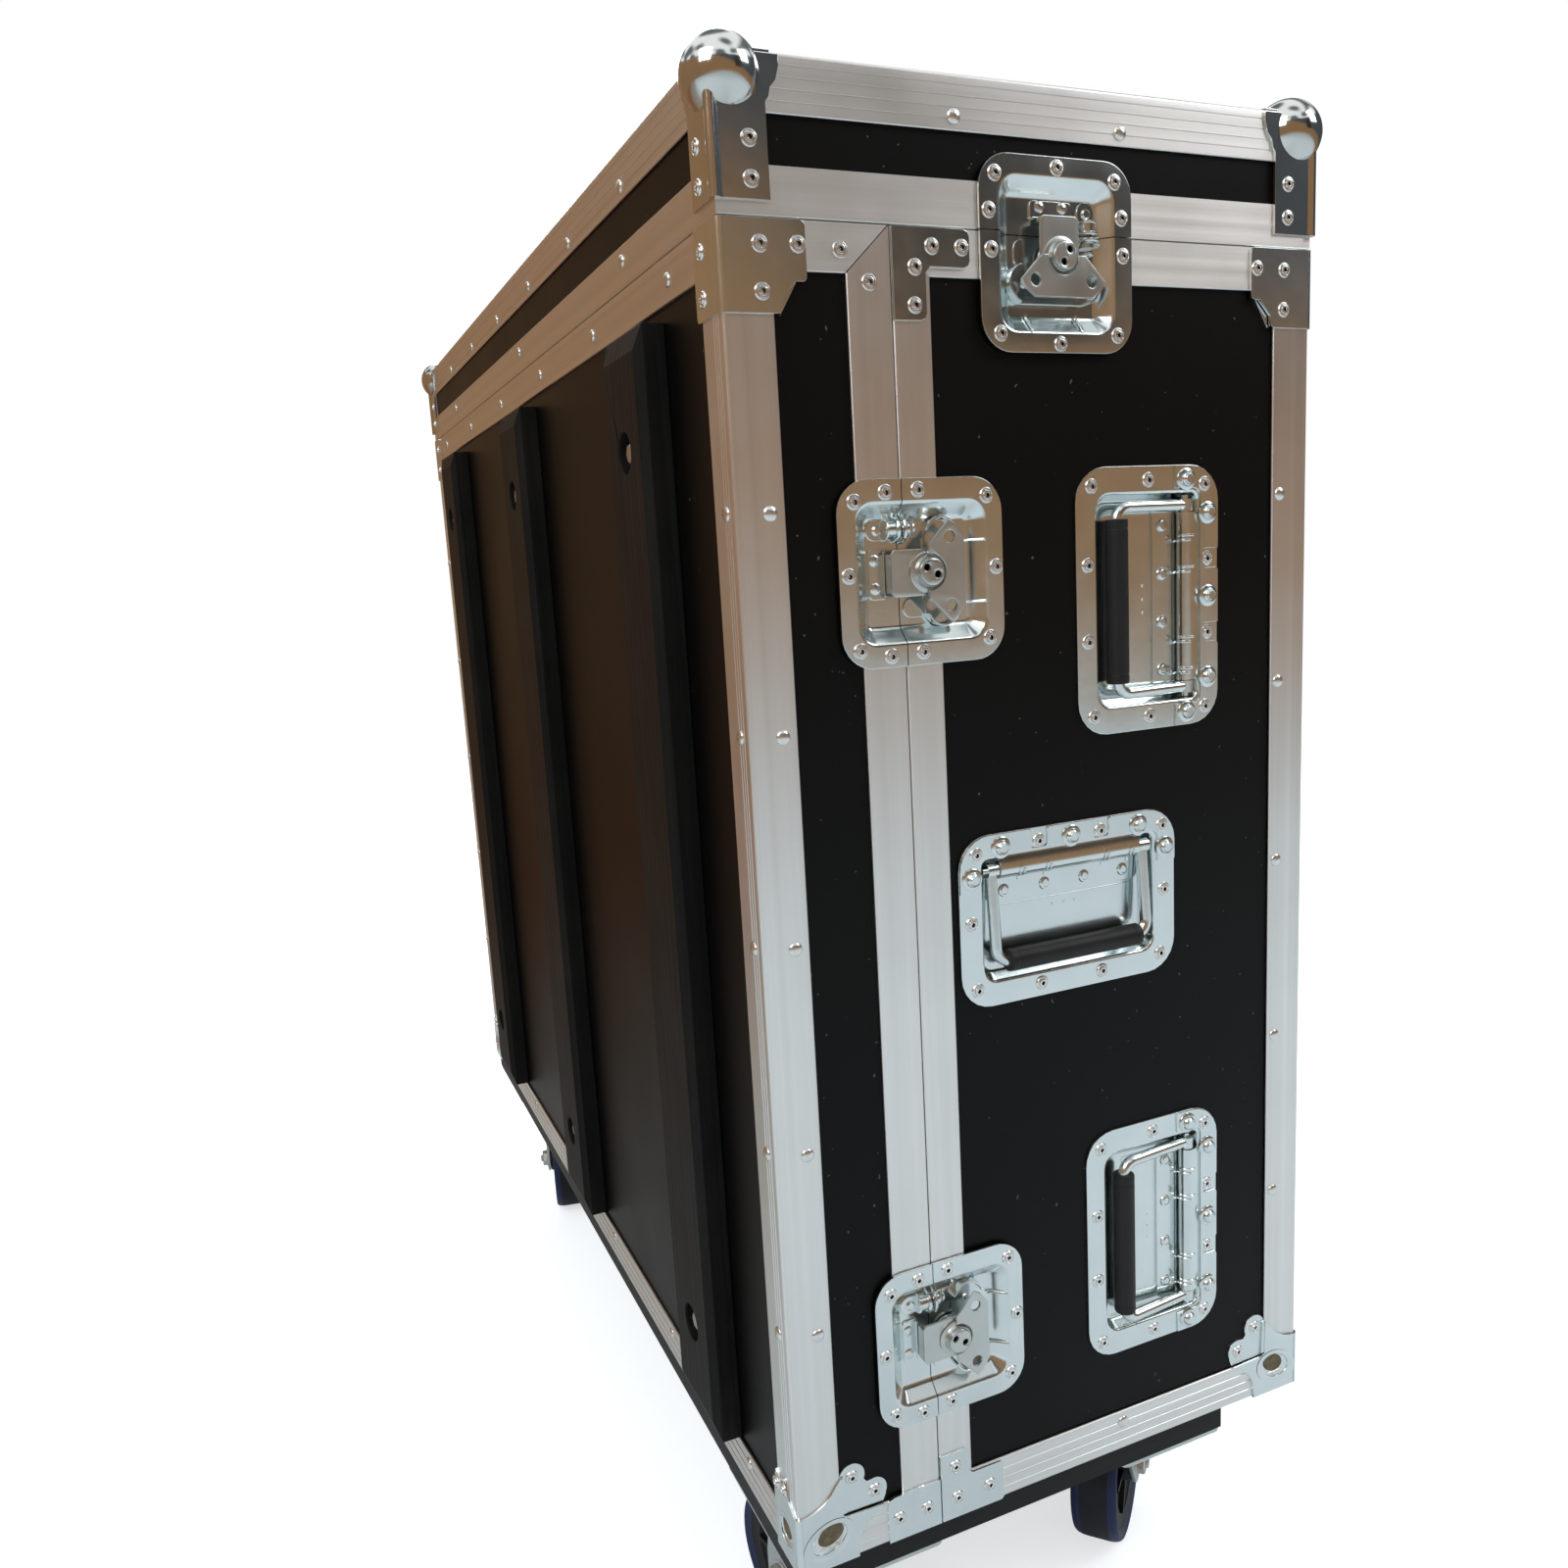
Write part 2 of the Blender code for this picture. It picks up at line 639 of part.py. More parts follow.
def ball_corners():
    """Steel ball and bent legs at each top corner of the lid, outside the extrusions."""
    top, proud, sunk = BODY_HEIGHT + LID_HEIGHT, STEEL, ALU / 2
    foot = BODY_HEIGHT + BALL_LEG_GAP
    inside = block((sunk, sunk, 0), (CASE_WIDTH - sunk, CASE_LENGTH - sunk, top - sunk))
    shapes = []
    for x, inward_x in ((0, 1), (CASE_WIDTH, -1)):
        for y, inward_y in ((0, 1), (CASE_LENGTH, -1)):
            bm = bmesh.new()
            bmesh.ops.create_uvsphere(bm, u_segments=12, v_segments=8, radius=BALL_RADIUS)
            middle = (x + inward_x * BALL_INSET, y + inward_y * BALL_INSET, top - BALL_INSET)
            bmesh.ops.translate(bm, verts=bm.verts, vec=middle)
            shapes.append(cut(closed(bm), inside))
            for reach_x, reach_y in ((BALL_LEG_WIDTH, sunk), (sunk, BALL_LEG_WIDTH)):
                xs = sorted((x - inward_x * proud, x + inward_x * reach_x))
                ys = sorted((y - inward_y * proud, y + inward_y * reach_y))
                shapes.append(block((xs[0], ys[0], foot), (xs[1], ys[1], top - BALL_INSET)))
    return shapes


def tray_shell():
    """The tray's side panel with its front, back and bottom strips."""
    edge = TRAY_DEPTH - SPLIT - RIM_WEB - FIT
    top = BODY_HEIGHT - SPLIT - RIM_WEB - FIT
    near, deep = PANEL_INSET, PANEL_INSET + PANEL
    shape = wall_ring(
        (near, near, near),
        (edge, CASE_LENGTH - near, top),
        (deep, deep, deep),
        (FAR, CASE_LENGTH - deep, FAR),
    )
    return cut(shape, *latch_holes(("upper", "lower")))


def lid_shell():
    """The lid's top panel with its four side strips."""
    low = BODY_HEIGHT + SPLIT + RIM_WEB + FIT
    near, deep = PANEL_INSET, PANEL_INSET + PANEL
    top = BODY_HEIGHT + LID_HEIGHT
    shape = wall_ring(
        (near, near, low),
        (CASE_WIDTH - near, CASE_LENGTH - near, top - near),
        (deep, deep, 0),
        (CASE_WIDTH - deep, CASE_LENGTH - deep, top - deep),
    )
    return cut(shape, *latch_holes(("top",)))


def end_panel(end):
    """End panel of the main shell, pierced for its latches and handles."""
    edge = TRAY_DEPTH + SPLIT + RIM_WEB + FIT
    top = BODY_HEIGHT - SPLIT - RIM_WEB - FIT
    near = PANEL_INSET
    y = near if end == "front" else CASE_LENGTH - near - PANEL
    shape = block((edge, y, near), (CASE_WIDTH - near, y + PANEL, top))
    frames = handle_frames()
    holes = [moved(handle_hole(), frames[name]) for name in frames if name.startswith(end)]
    latches = latch_frames()
    holes += [moved(latch_hole(), latches[name]) for name in latches if name.startswith(end)]
    return cut(shape, *holes)


def side_panel():
    """Outer side panel of the main shell, between the end panels."""
    inner = PANEL_INSET + PANEL + FIT
    top = BODY_HEIGHT - SPLIT - RIM_WEB - FIT
    low = (CASE_WIDTH - PANEL_INSET - PANEL, inner, PANEL_INSET)
    return block(low, (CASE_WIDTH - PANEL_INSET, CASE_LENGTH - inner, top))


def bottom_panel():
    """Bottom panel of the main shell, between the end and side panels."""
    inner = PANEL_INSET + PANEL + FIT
    low = (TRAY_DEPTH + SPLIT + RIM_WEB + FIT, inner, PANEL_INSET)
    return block(low, (CASE_WIDTH - inner, CASE_LENGTH - inner, PANEL_INSET + PANEL))


def lid_foam():
    """Foam pad under the lid's top panel."""
    inner = RIM_DEPTH + FOAM_GAP
    top = BODY_HEIGHT + LID_HEIGHT - PANEL_INSET - PANEL - FIT
    return block((inner, inner, top - LID_FOAM), (CASE_WIDTH - inner, CASE_LENGTH - inner, top))


def skid():
    """A chamfered wooden runner with sloped ends and a counterbore near each end; X points out."""
    foot = CORNER_LEG + SKID_FOOT_CLEARANCE
    head = BODY_HEIGHT - BODY_TOP_RIM - SKID_TOP_CLEARANCE
    half, face, chamfer = SKID_WIDTH / 2, SKID_THICKNESS, SKID_CHAMFER
    outline = [(0, -half), (face - chamfer, -half), (face, chamfer - half)]
    outline += [(face, half - chamfer), (face - chamfer, half), (0, half)]
    shape = prism(outline, foot, head)
    rise = 2 * chamfer * SKID_END_SLOPE
    slope = [(face - chamfer, 0), (face + chamfer, 0), (face + chamfer, rise)]
    low_cut = prism([(x, foot + z) for x, z in slope], -FAR, FAR, DRAWN_ALONG_Y)
    high_cut = prism([(x, head - z) for x, z in slope], -FAR, FAR, DRAWN_ALONG_Y)
    bores = []
    for z in (foot + SKID_HOLE_FROM_END, head - SKID_HOLE_FROM_END):
        outline = circle(SKID_COUNTERBORE, (0, z))
        bores.append(prism(outline, face - SKID_COUNTERBORE_DEPTH, face + chamfer, DRAWN_ALONG_X))
    return cut(shape, low_cut, high_cut, *bores)


def latch_half(reach, pan_reach, side):
    """Half of a latch dish on one side of the split: a flange round a pan with leaning walls."""
    half, pan_half, floor = LATCH_LENGTH / 2, LATCH_PAN_LENGTH / 2, LATCH_PAN_DEPTH
    corners, pan_corners = (0, LATCH_CORNER, LATCH_CORNER, 0), (0, PAN_CORNER, PAN_CORNER, 0)

    def pan(start, grow):
        return rounded((start, -pan_half - grow), (pan_reach + grow, pan_half + grow), pan_corners)

    slope, above = LATCH_PAN_SLOPE, STEEL
    flare = slope * above / (floor - FLANGE_FRONT)
    plate = prism(rounded((SPLIT, -half), (reach, half), corners), FLANGE_FRONT, -FIT)
    bottom = floor + STEEL
    body = prism(pan(SPLIT, STEEL), -FIT - STEEL / 2, bottom, top_outline=pan(SPLIT, STEEL - slope))
    inside = pan(-pan_reach, flare)
    cavity = prism(inside, FLANGE_FRONT - above, floor, top_outline=pan(-pan_reach, -slope))
    shape = cut(join(plate, body), cavity)
    return moved(shape, Matrix.Diagonal((side, 1, 1, 1)))


def latch_keeper():
    """Keeper half of a latch: its dish with the riveted strike plate."""
    dish = latch_half(LATCH_KEEPER, LATCH_PAN_KEEPER, -1)
    half, floor = STRIKE_WIDTH / 2, LATCH_PAN_DEPTH
    far, near = -STRIKE_FROM_SPLIT - STRIKE_LENGTH, -STRIKE_FROM_SPLIT
    strike = block((far, -half, floor - STRIKE_PLATE), (near, half, floor + STEEL / 2))
    return join(dish, strike)


def latch_hook():
    """Hook plate with a folded nose and the slot for the hub's stem; its origin is on the hub axis."""
    half, top = HOOK_WIDTH / 2, HOOK_FACE
    bottom = HOOK_FACE + HOOK_THICKNESS
    plate = block((-HOOK_REACH, -half, top), (HOOK_TAIL, half, bottom))
    nose_end = LATCH_PAN_DEPTH - STRIKE_PLATE - HOOK_NOSE_GAP
    nose = block((-HOOK_REACH, -half, top), (HOOK_NOSE - HOOK_REACH, half, nose_end))
    radius = STEM_RADIUS + FIT
    slot = arc((0, 0), radius, 90, 270, 6) + arc((HOOK_TRAVEL, 0), radius, -90, 90, 6)
    return cut(join(plate, nose), prism(slot, top - STEEL, bottom + STEEL))


def latch_wing():
    """Butterfly wing, stepped hub and stem in one; its origin is on the hub axis."""
    tip = [polar(WING_REACH, WING_TIP_START), polar(WING_REACH, WING_TIP_END)]
    upper = [(0, WING_WAIST), *tip, polar(WING_CORNER_REACH, WING_CORNER)]
    outline = [(x, -y) for x, y in upper] + list(reversed(upper))
    front = WING_BACK - WING_THICKNESS
    plate = prism(outline, front, WING_BACK)
    hub = prism(circle(HUB_RADIUS, sides=16), WING_BACK - WING_THICKNESS / 2, HOOK_FACE - FIT)
    cap = prism(circle(CAP_RADIUS, sides=16), front - CAP_RISE, WING_BACK)
    stem = prism(circle(STEM_RADIUS), WING_BACK, LATCH_PAN_DEPTH - FIT)
    return join(plate, hub, cap, stem)


def add_latches(case, steel):
    """Six latches: dish halves fixed to the shells, hook and wing on the hub axis."""
    dish = latch_half(LATCH_MAIN, LATCH_PAN_MAIN, 1)
    keeper, hook, wing = latch_keeper(), latch_hook(), latch_wing()
    for name, frame in latch_frames().items():
        hub = frame @ Matrix.Translation((HUB_FROM_SPLIT, 0, 0))
        place(f"latch_dish_{name}", dish, steel, frame, case)
        place(f"latch_keeper_{name}", keeper, steel, frame, case)
        place(f"latch_hook_{name}", hook, steel, hub, case)
        place(f"latch_wing_{name}", wing, steel, hub, case)


def rod(start, end, radius, sides=10):
    """A straight round bar between two points."""
    start, end = Vector(start), Vector(end)
    turn = (end - start).to_track_quat("Z", "Y").to_matrix().to_4x4()
    bar = prism(circle(radius, sides=sides), 0, (end - start).length)
    return moved(bar, Matrix.Translation(start) @ turn)


def tube(path, radius, sides=8):
    """A round bar bent along a path in the XY plane."""
    bm = bmesh.new()
    points = [Vector((*point, 0)) for point in path]
    rings = []
    for i, point in enumerate(points):
        before = (point - points[max(i - 1, 0)]).normalized()
        after = (points[min(i + 1, len(points) - 1)] - point).normalized()
        along = (before + after).normalized()
        stretch = 1 / max(along.dot(before), along.dot(after))
        side = Vector((-along.y, along.x, 0)) * stretch
        ring = [point + radius * (side * x + Z * y) for x, y in circle(1, sides=sides)]
        rings.append([bm.verts.new(corner) for corner in ring])
    bm.faces.new(rings[0])
    bm.faces.new(rings[-1])
    for ring, following in zip(rings, rings[1:]):
        for i in range(sides):
            bm.faces.new((ring[i - 1], ring[i], following[i], following[i - 1]))
    return closed(bm)


def handle_dish():
    """Handle dish: flange, pan with leaning walls, hinge leaf on the floor, barrel, saddle and pin."""
    half_w, half_l = HANDLE_WIDTH / 2, HANDLE_LENGTH / 2
    pan_w, pan_l = HANDLE_PAN_WIDTH / 2, HANDLE_PAN_LENGTH / 2
    floor, slope, above = HANDLE_PAN_DEPTH, HANDLE_PAN_SLOPE, STEEL
    corners = (HINGE_END_CORNER, PAN_CORNER, PAN_CORNER, HINGE_END_CORNER)

    def pan(grow):
        return rounded((-pan_w - grow, -pan_l - grow), (pan_w + grow, pan_l + grow), corners)

    outline = rounded((-half_w, -half_l), (half_w, half_l), [HANDLE_CORNER] * 4)
    plate = prism(outline, FLANGE_FRONT, -FIT)
    body = prism(pan(STEEL), -FIT - STEEL / 2, floor + STEEL, top_outline=pan(STEEL - slope))
    lean = slope / (floor - FLANGE_FRONT)
    cavity = prism(pan(lean * above), FLANGE_FRONT - above, floor, top_outline=pan(-slope))
    shape = cut(join(plate, body), cavity)
    hinge = -pan_w + HINGE_FROM_WALL
    reach = pan_l - lean * (HINGE_DEPTH - FLANGE_FRONT) + STEEL / 2
    half_leaf, leaf_face = pan_l - LEAF_END_GAP, floor - STEEL
    leaf_end = hinge + BARREL_RADIUS + LEAF_WIDTH
    leaf = block(
        (hinge + EYE_RADIUS + 2 * FIT, -half_leaf, leaf_face), (leaf_end, half_leaf, floor + STEEL / 2)
    )
    neck = block(
        (hinge, -HALF_BARREL + FIT, leaf_face), (leaf_end - FIT, HALF_BARREL - FIT, floor + STEEL / 2)
    )
    saddle = block(
        (-pan_w - STEEL / 2, -HALF_BARREL + FIT, HINGE_DEPTH - BARREL_RADIUS + FIT),
        (hinge, HALF_BARREL - FIT, HINGE_DEPTH),
    )
    barrel = rod((hinge, -HALF_BARREL, HINGE_DEPTH), (hinge, HALF_BARREL, HINGE_DEPTH), BARREL_RADIUS)
    pin = rod((hinge, -reach, HINGE_DEPTH), (hinge, reach, HINGE_DEPTH), HINGE_PIN_RADIUS)
    return join(shape, leaf, neck, saddle, barrel, pin)


def handle_bail():
    """Bail: two eyes on the pin, the bent bar and its rubber grip; its origin is on the pin axis."""
    arm, bend, half_eye = HALF_BAIL, BAIL_BEND, ROD_RADIUS
    half_grip = arm - bend
    path = [(0, -arm)]
    path += arc((ARM_LENGTH - bend, bend - arm), bend, -90, 0, 2)
    path += arc((ARM_LENGTH - bend, arm - bend), bend, 0, 90, 2)
    path += [(0, arm)]
    bar = tube(path, ROD_RADIUS)
    eyes = [rod((0, y - half_eye, 0), (0, y + half_eye, 0), EYE_RADIUS) for y in (-arm, arm)]
    grip = rod((ARM_LENGTH, -half_grip, 0), (ARM_LENGTH, half_grip, 0), GRIP_RADIUS, 12)
    reach = arm + EYE_RADIUS
    bore = rod((0, -reach, 0), (0, reach, 0), HINGE_PIN_RADIUS + FIT)
    return cut(join(bar, grip, *eyes), bore)


def add_handles(case, steel, rubber):
    """Six handles: dish fixed to an end panel, bail hinged on its pin."""
    dish, bail = handle_dish(), handle_bail()
    hinge = Matrix.Translation((-HANDLE_PAN_WIDTH / 2 + HINGE_FROM_WALL, 0, HINGE_DEPTH))
    rest = hinge @ Matrix.Rotation(BAIL_TILT, 4, "Y")
    for name, frame in handle_frames().items():
        place(f"handle_dish_{name}", dish, steel, frame, case)
        place(f"handle_bail_{name}", bail, rubber, frame @ rest, case)


def castor_places():
    """Swivel axis and rest heading of each castor, on the underside of the board."""
    under = -FIT - BOARD_THICKNESS
    left, right = BOARD_LEFT + CASTOR_FROM_LEFT, BOARD_RIGHT - CASTOR_FROM_RIGHT
    near, far = CASTOR_FROM_END, CASE_LENGTH - CASTOR_FROM_END
    spots = {
        "front_left": (left, near, FRONT_LEFT_SWIVEL),
        "front_right": (right, near, FRONT_RIGHT_SWIVEL),
        "back_left": (left, far, BACK_LEFT_SWIVEL),
        "back_right": (right, far, BACK_RIGHT_SWIVEL),
    }
    return {
        name: Matrix.Translation((x, y, under)) @ Matrix.Rotation(heading, 4, "Z")
        for name, (x, y, heading) in spots.items()
    }


def castor_board():
    """Ply board with the four castor plates, bearing races and king pins fixed to it."""
    shape = block(
        (BOARD_LEFT, BOARD_END_INSET, -FIT - BOARD_THICKNESS),
        (BOARD_RIGHT, CASE_LENGTH - BOARD_END_INSET, -FIT),
    )
    half_l, half_w, plate = CASTOR_PLATE_LENGTH / 2, CASTOR_PLATE_WIDTH / 2, CASTOR_PLATE_THICKNESS
    crown = CROWN_TOP + CROWN_THICKNESS + FIT
    fittings = []
    for frame in castor_places().values():
        spot = Matrix.Translation(frame.translation)
        flange = block((-half_w, -half_l, -plate), (half_w, half_l, plate / 2))
        race = prism(circle(RACE_RADIUS, sides=20), -plate - RACE_HEIGHT, 0)
        king = prism(circle(KING_PIN_RADIUS), -crown - KING_HEAD_HEIGHT / 2, 0)
        head = prism(circle(KING_HEAD_RADIUS, sides=6), -crown - KING_HEAD_HEIGHT, -crown)
        fittings += [moved(part, spot) for part in (flange, race, king, head)]
    return join(shape, *fittings)


def castor_fork(braked):
    """Fork: crown on the swivel axis, legs, front shroud and axle, and the pedal pin if braked."""
    front, back, top, axle, trail = -FORK_FRONT, FORK_BACK, -CROWN_TOP, -AXLE_DROP, CASTOR_TRAIL
    inner, outer = FORK_GAP / 2, FORK_GAP / 2 + FORK_SHEET
    foot, shroud_foot = axle - FORK_HEEL, top - FORK_SHROUD
    crown = block((front, -outer, top - CROWN_THICKNESS), (back, outer, top))
    side = [(front, top), (back, top), (trail + FORK_EYE, axle), (trail + FORK_FOOT, foot)]
    side += [(trail - FORK_FOOT, foot), (front, shroud_foot)]
    legs = [prism(side, inner, outer, DRAWN_ALONG_Y), prism(side, -outer, -inner, DRAWN_ALONG_Y)]
    shroud = block((front, -outer, shroud_foot), (front + FORK_SHEET, outer, top))
    bolt = rod((trail, -outer, axle), (trail, outer, axle), AXLE_RADIUS)
    nuts = []
    for sign in (-1, 1):
        start = (trail, sign * (outer - FORK_SHEET / 2), axle)
        nuts.append(rod(start, (trail, sign * (outer + NUT_HEIGHT), axle), NUT_RADIUS, 6))
    extras = [*legs, shroud, bolt, *nuts]
    if braked:
        x, z = PEDAL_PIVOT_X, -PEDAL_PIVOT_DROP
        extras.append(rod((x, -outer, z), (x, outer, z), PEDAL_PIN_RADIUS))
    hole = prism(circle(KING_PIN_RADIUS + FIT), -FAR, FAR)
    return join(cut(crown, hole), *extras)


def castor_wheel():
    """Wheel turned about its axle, a flat facet downwards; its origin is the axle's middle."""
    half, hub = WHEEL_WIDTH / 2, WHEEL_HUB_LENGTH / 2
    bore = AXLE_RADIUS + FIT
    rim = WHEEL_RADIUS / math.cos(math.pi / WHEEL_SIDES)
    side = [(bore, hub), (WHEEL_HUB_RADIUS, hub), (WHEEL_HUB_RADIUS, WHEEL_WEB / 2)]
    side += [(rim - TYRE_DEPTH, WHEEL_WEB / 2), (rim - TYRE_DEPTH, half)]
    side += [(rim - TYRE_CROWN, half - TYRE_CROWN), (rim, half - TYRE_SHOULDER)]
    profile = side + [(radius, -y) for radius, y in reversed(side)]
    bm = bmesh.new()
    rings = []
    for step in range(WHEEL_SIDES):
        angle = 2 * math.pi * (step + 0.5) / WHEEL_SIDES
        rings.append([bm.verts.new((r * math.sin(angle), y, r * math.cos(angle))) for r, y in profile])
    for ring, following in zip(rings, rings[1:] + rings[:1]):
        for i in range(len(profile)):
            j = (i + 1) % len(profile)
            bm.faces.new((ring[i], ring[j], following[j], following[i]))
    return closed(bm)


def brake_pedal():
    """Pressed pedal on a barrel; its origin is on the pedal's pin."""
    half = PEDAL_WIDTH / 2
    barrel = rod((0, -half, 0), (0, half, 0), PEDAL_BARREL_RADIUS)
    tip, drop, sheet = PEDAL_LENGTH, PEDAL_SLOPE, PEDAL_SHEET / 2
    blade = [(0, -sheet), (tip, -drop - sheet), (tip + PEDAL_LIP, PEDAL_LIP - drop), (tip, sheet - drop)]
    blade += [(0, sheet)]
    plate = prism(blade, -half, half, DRAWN_ALONG_Y)
    bore = rod((0, -half - FIT, 0), (0, half + FIT, 0), PEDAL_PIN_RADIUS + FIT)
    return cut(join(plate, barrel), bore)


def add_castors(case, zinc, tyre):
    """Four castors; the front pair is braked."""
    wheel, pedal = castor_wheel(), brake_pedal()
    forks = {True: castor_fork(True), False: castor_fork(False)}
    axle = Matrix.Translation((CASTOR_TRAIL, 0, -AXLE_DROP))
    pivot = Matrix.Translation((PEDAL_PIVOT_X, 0, -PEDAL_PIVOT_DROP))
    for name, frame in castor_places().items():
        braked = name.startswith("front")
        fork = place(f"castor_fork_{name}", forks[braked], zinc, frame, case)
        place(f"castor_wheel_{name}", wheel, tyre, axle, fork)
        if braked:
            place(f"brake_pedal_{name}", pedal, zinc, pivot, fork)


def build():
    """The whole case, in its world place."""
    for old in list(bpy.data.objects):
        bpy.data.objects.remove(old)
    left = (SKID_REACH - BALL_REACH - CASE_WIDTH) / 2
    case = empty("case", Matrix.Translation((left, -CASE_LENGTH / 2, SHELL_HEIGHT)))

    laminate = finish("black_laminate_ply", (0.012, 0.013, 0.014), 0.45, 0.0)
    aluminium = finish("mill_aluminium", (0.60, 0.60, 0.60), 0.35, 1.0)
    zinc = finish("bright_zinc_steel", (0.62, 0.66, 0.68), 0.25, 1.0)
    rubber = finish("black_rubber", (0.015, 0.015, 0.015), 0.7, 0.0)
    tyre = finish("blue_tyre_rubber", (0.03, 0.05, 0.12), 0.5, 0.0)
    timber = finish("black_stained_wood", (0.02, 0.02, 0.02), 0.75, 0.0)
    foam = finish("charcoal_foam", (0.03, 0.03, 0.032), 0.95, 0.0)

    place("main_front_panel", end_panel("front"), laminate, parent=case)
    place("main_back_panel", end_panel("back"), laminate, parent=case)
    place("main_side_panel", side_panel(), laminate, parent=case)
    place("main_bottom_panel", bottom_panel(), laminate, parent=case)
    place("main_frame", main_frame(), aluminium, parent=case)
    place("tray_shell", tray_shell(), laminate, parent=case)
    place("tray_frame", tray_frame(), aluminium, parent=case)
    place("lid_shell", lid_shell(), laminate, parent=case)
    place("lid_frame", lid_frame(), aluminium, parent=case)
    place("lid_foam", lid_foam(), foam, parent=case)

    runner = skid()
    first = SKID_FROM_FRONT + SKID_WIDTH / 2
    last = CASE_LENGTH - SKID_FROM_BACK - SKID_WIDTH / 2
    half_turn = Matrix.Diagonal((-1, -1, 1, 1))
    for name, y in (("front", first), ("middle", (first + last) / 2), ("back", last)):
        seat = Matrix.Translation((PANEL_INSET - FIT, y, 0)) @ half_turn
        place(f"skid_{name}", runner, timber, seat, case)

    add_latches(case, zinc)
    add_handles(case, zinc, rubber)
    place("castor_board", castor_board(), laminate, parent=case)
    add_castors(case, zinc, tyre)


build()
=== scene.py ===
"""Looks of the mixer flight case: three laminated shells in aluminium edging on a castor board."""
import math

import bmesh
import bpy
from mathutils import Matrix, Vector
from mathutils.geometry import tessellate_polygon


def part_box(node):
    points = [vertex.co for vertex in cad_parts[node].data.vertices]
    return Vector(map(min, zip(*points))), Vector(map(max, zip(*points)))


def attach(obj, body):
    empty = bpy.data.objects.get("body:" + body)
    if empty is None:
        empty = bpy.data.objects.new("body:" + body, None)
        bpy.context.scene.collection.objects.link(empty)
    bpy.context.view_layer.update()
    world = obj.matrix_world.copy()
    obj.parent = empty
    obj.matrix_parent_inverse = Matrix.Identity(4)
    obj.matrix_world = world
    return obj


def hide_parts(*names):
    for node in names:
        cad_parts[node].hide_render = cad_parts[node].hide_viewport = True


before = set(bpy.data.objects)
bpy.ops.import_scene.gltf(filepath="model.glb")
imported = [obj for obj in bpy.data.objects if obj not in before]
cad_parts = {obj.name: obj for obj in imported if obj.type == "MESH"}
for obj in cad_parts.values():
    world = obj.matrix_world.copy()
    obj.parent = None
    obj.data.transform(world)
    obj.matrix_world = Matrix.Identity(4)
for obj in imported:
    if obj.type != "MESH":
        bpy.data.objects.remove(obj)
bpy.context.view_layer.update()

# Camera of the photograph: a little left of the case's front corner, at about two thirds of its
# height, looking slightly down. Its lens takes in 0.7914 frame widths at one frame's distance.
scene = bpy.context.scene
camera = bpy.data.objects.new("camera", bpy.data.cameras.new("camera"))
camera.data.sensor_width = 36.0
camera.data.lens = 0.79142 * camera.data.sensor_width
camera.location = (-0.4526, -1.1435, 0.7995)
camera.rotation_euler = [math.radians(angle) for angle in (80.190, 3.286, -23.534)]
scene.collection.objects.link(camera)
scene.camera = camera
scene.view_settings.view_transform = "Standard"


def linear(code):
    """An sRGB hex colour as linear values with full alpha."""
    channels = [int(code[i:i + 2], 16) / 255 for i in (1, 3, 5)]
    low = [c / 12.92 if c <= 0.04045 else ((c + 0.055) / 1.055) ** 2.4 for c in channels]
    return (*low, 1.0)


def add(tree, kind, inputs=None, **settings):
    """A node with its settings; an input takes a value, a hex colour, a socket or a node's output."""
    node = tree.nodes.new("ShaderNode" + kind)
    for key, value in settings.items():
        setattr(node, key, value)
    for key, value in (inputs or {}).items():
        if isinstance(value, bpy.types.Node):
            value = next(output for output in value.outputs if output.enabled)
        if isinstance(value, bpy.types.NodeSocket):
            tree.links.new(value, node.inputs[key])
        else:
            node.inputs[key].default_value = linear(value) if isinstance(value, str) else value
    return node


# Studio: a white surround that shows in the view and in gloss, a dimmer fill for matt surfaces, and
# three softboxes overhead.
world = bpy.data.worlds.new("studio")
scene.world = world
world.use_nodes = True
tree = world.node_tree
tree.nodes.clear()
path = add(tree, "LightPath")
seen = path.outputs["Is Camera Ray"]
for ray in ("Is Glossy Ray", "Is Transmission Ray"):
    seen = add(tree, "Math", {0: seen, 1: path.outputs[ray]}, operation="MAXIMUM")
fill = add(tree, "Background", {"Color": "#eef3f7", "Strength": 0.55})
white = add(tree, "Background", {"Color": "#ffffff", "Strength": 1.0})
add(tree, "OutputWorld", {"Surface": add(tree, "MixShader", {0: seen, 1: fill, 2: white})})

for name, place, aim, size, power in (
    ("softbox_left", (-2.4, -1.8, 3.0), (0, 0, 0.5), 1.8, 42),
    ("softbox_right", (2.7, -2.1, 3.1), (0, 0, 0.5), 1.6, 34),
    ("softbox_back", (0.5, 3.0, 3.2), (0, 0, 0.4), 2.0, 50),
):
    lamp = bpy.data.lights.new(name, "AREA")
    lamp.energy, lamp.size = power, size
    lamp_object = bpy.data.objects.new(name, lamp)
    lamp_object.location = place
    lamp_object.rotation_euler = (Vector(aim) - Vector(place)).to_track_quat("-Z", "Y").to_euler()
    scene.collection.objects.link(lamp_object)


def new_material(name):
    """An empty node material: itself, its tree and a socket with the place on the object."""
    material = bpy.data.materials.new(name)
    material.use_nodes = True
    tree = material.node_tree
    tree.nodes.clear()
    return material, tree, add(tree, "TexCoord").outputs["Object"]


def surface(material, tree, shader):
    """Joins a finished shader to the material's output."""
    add(tree, "OutputMaterial", {"Surface": shader})
    return material


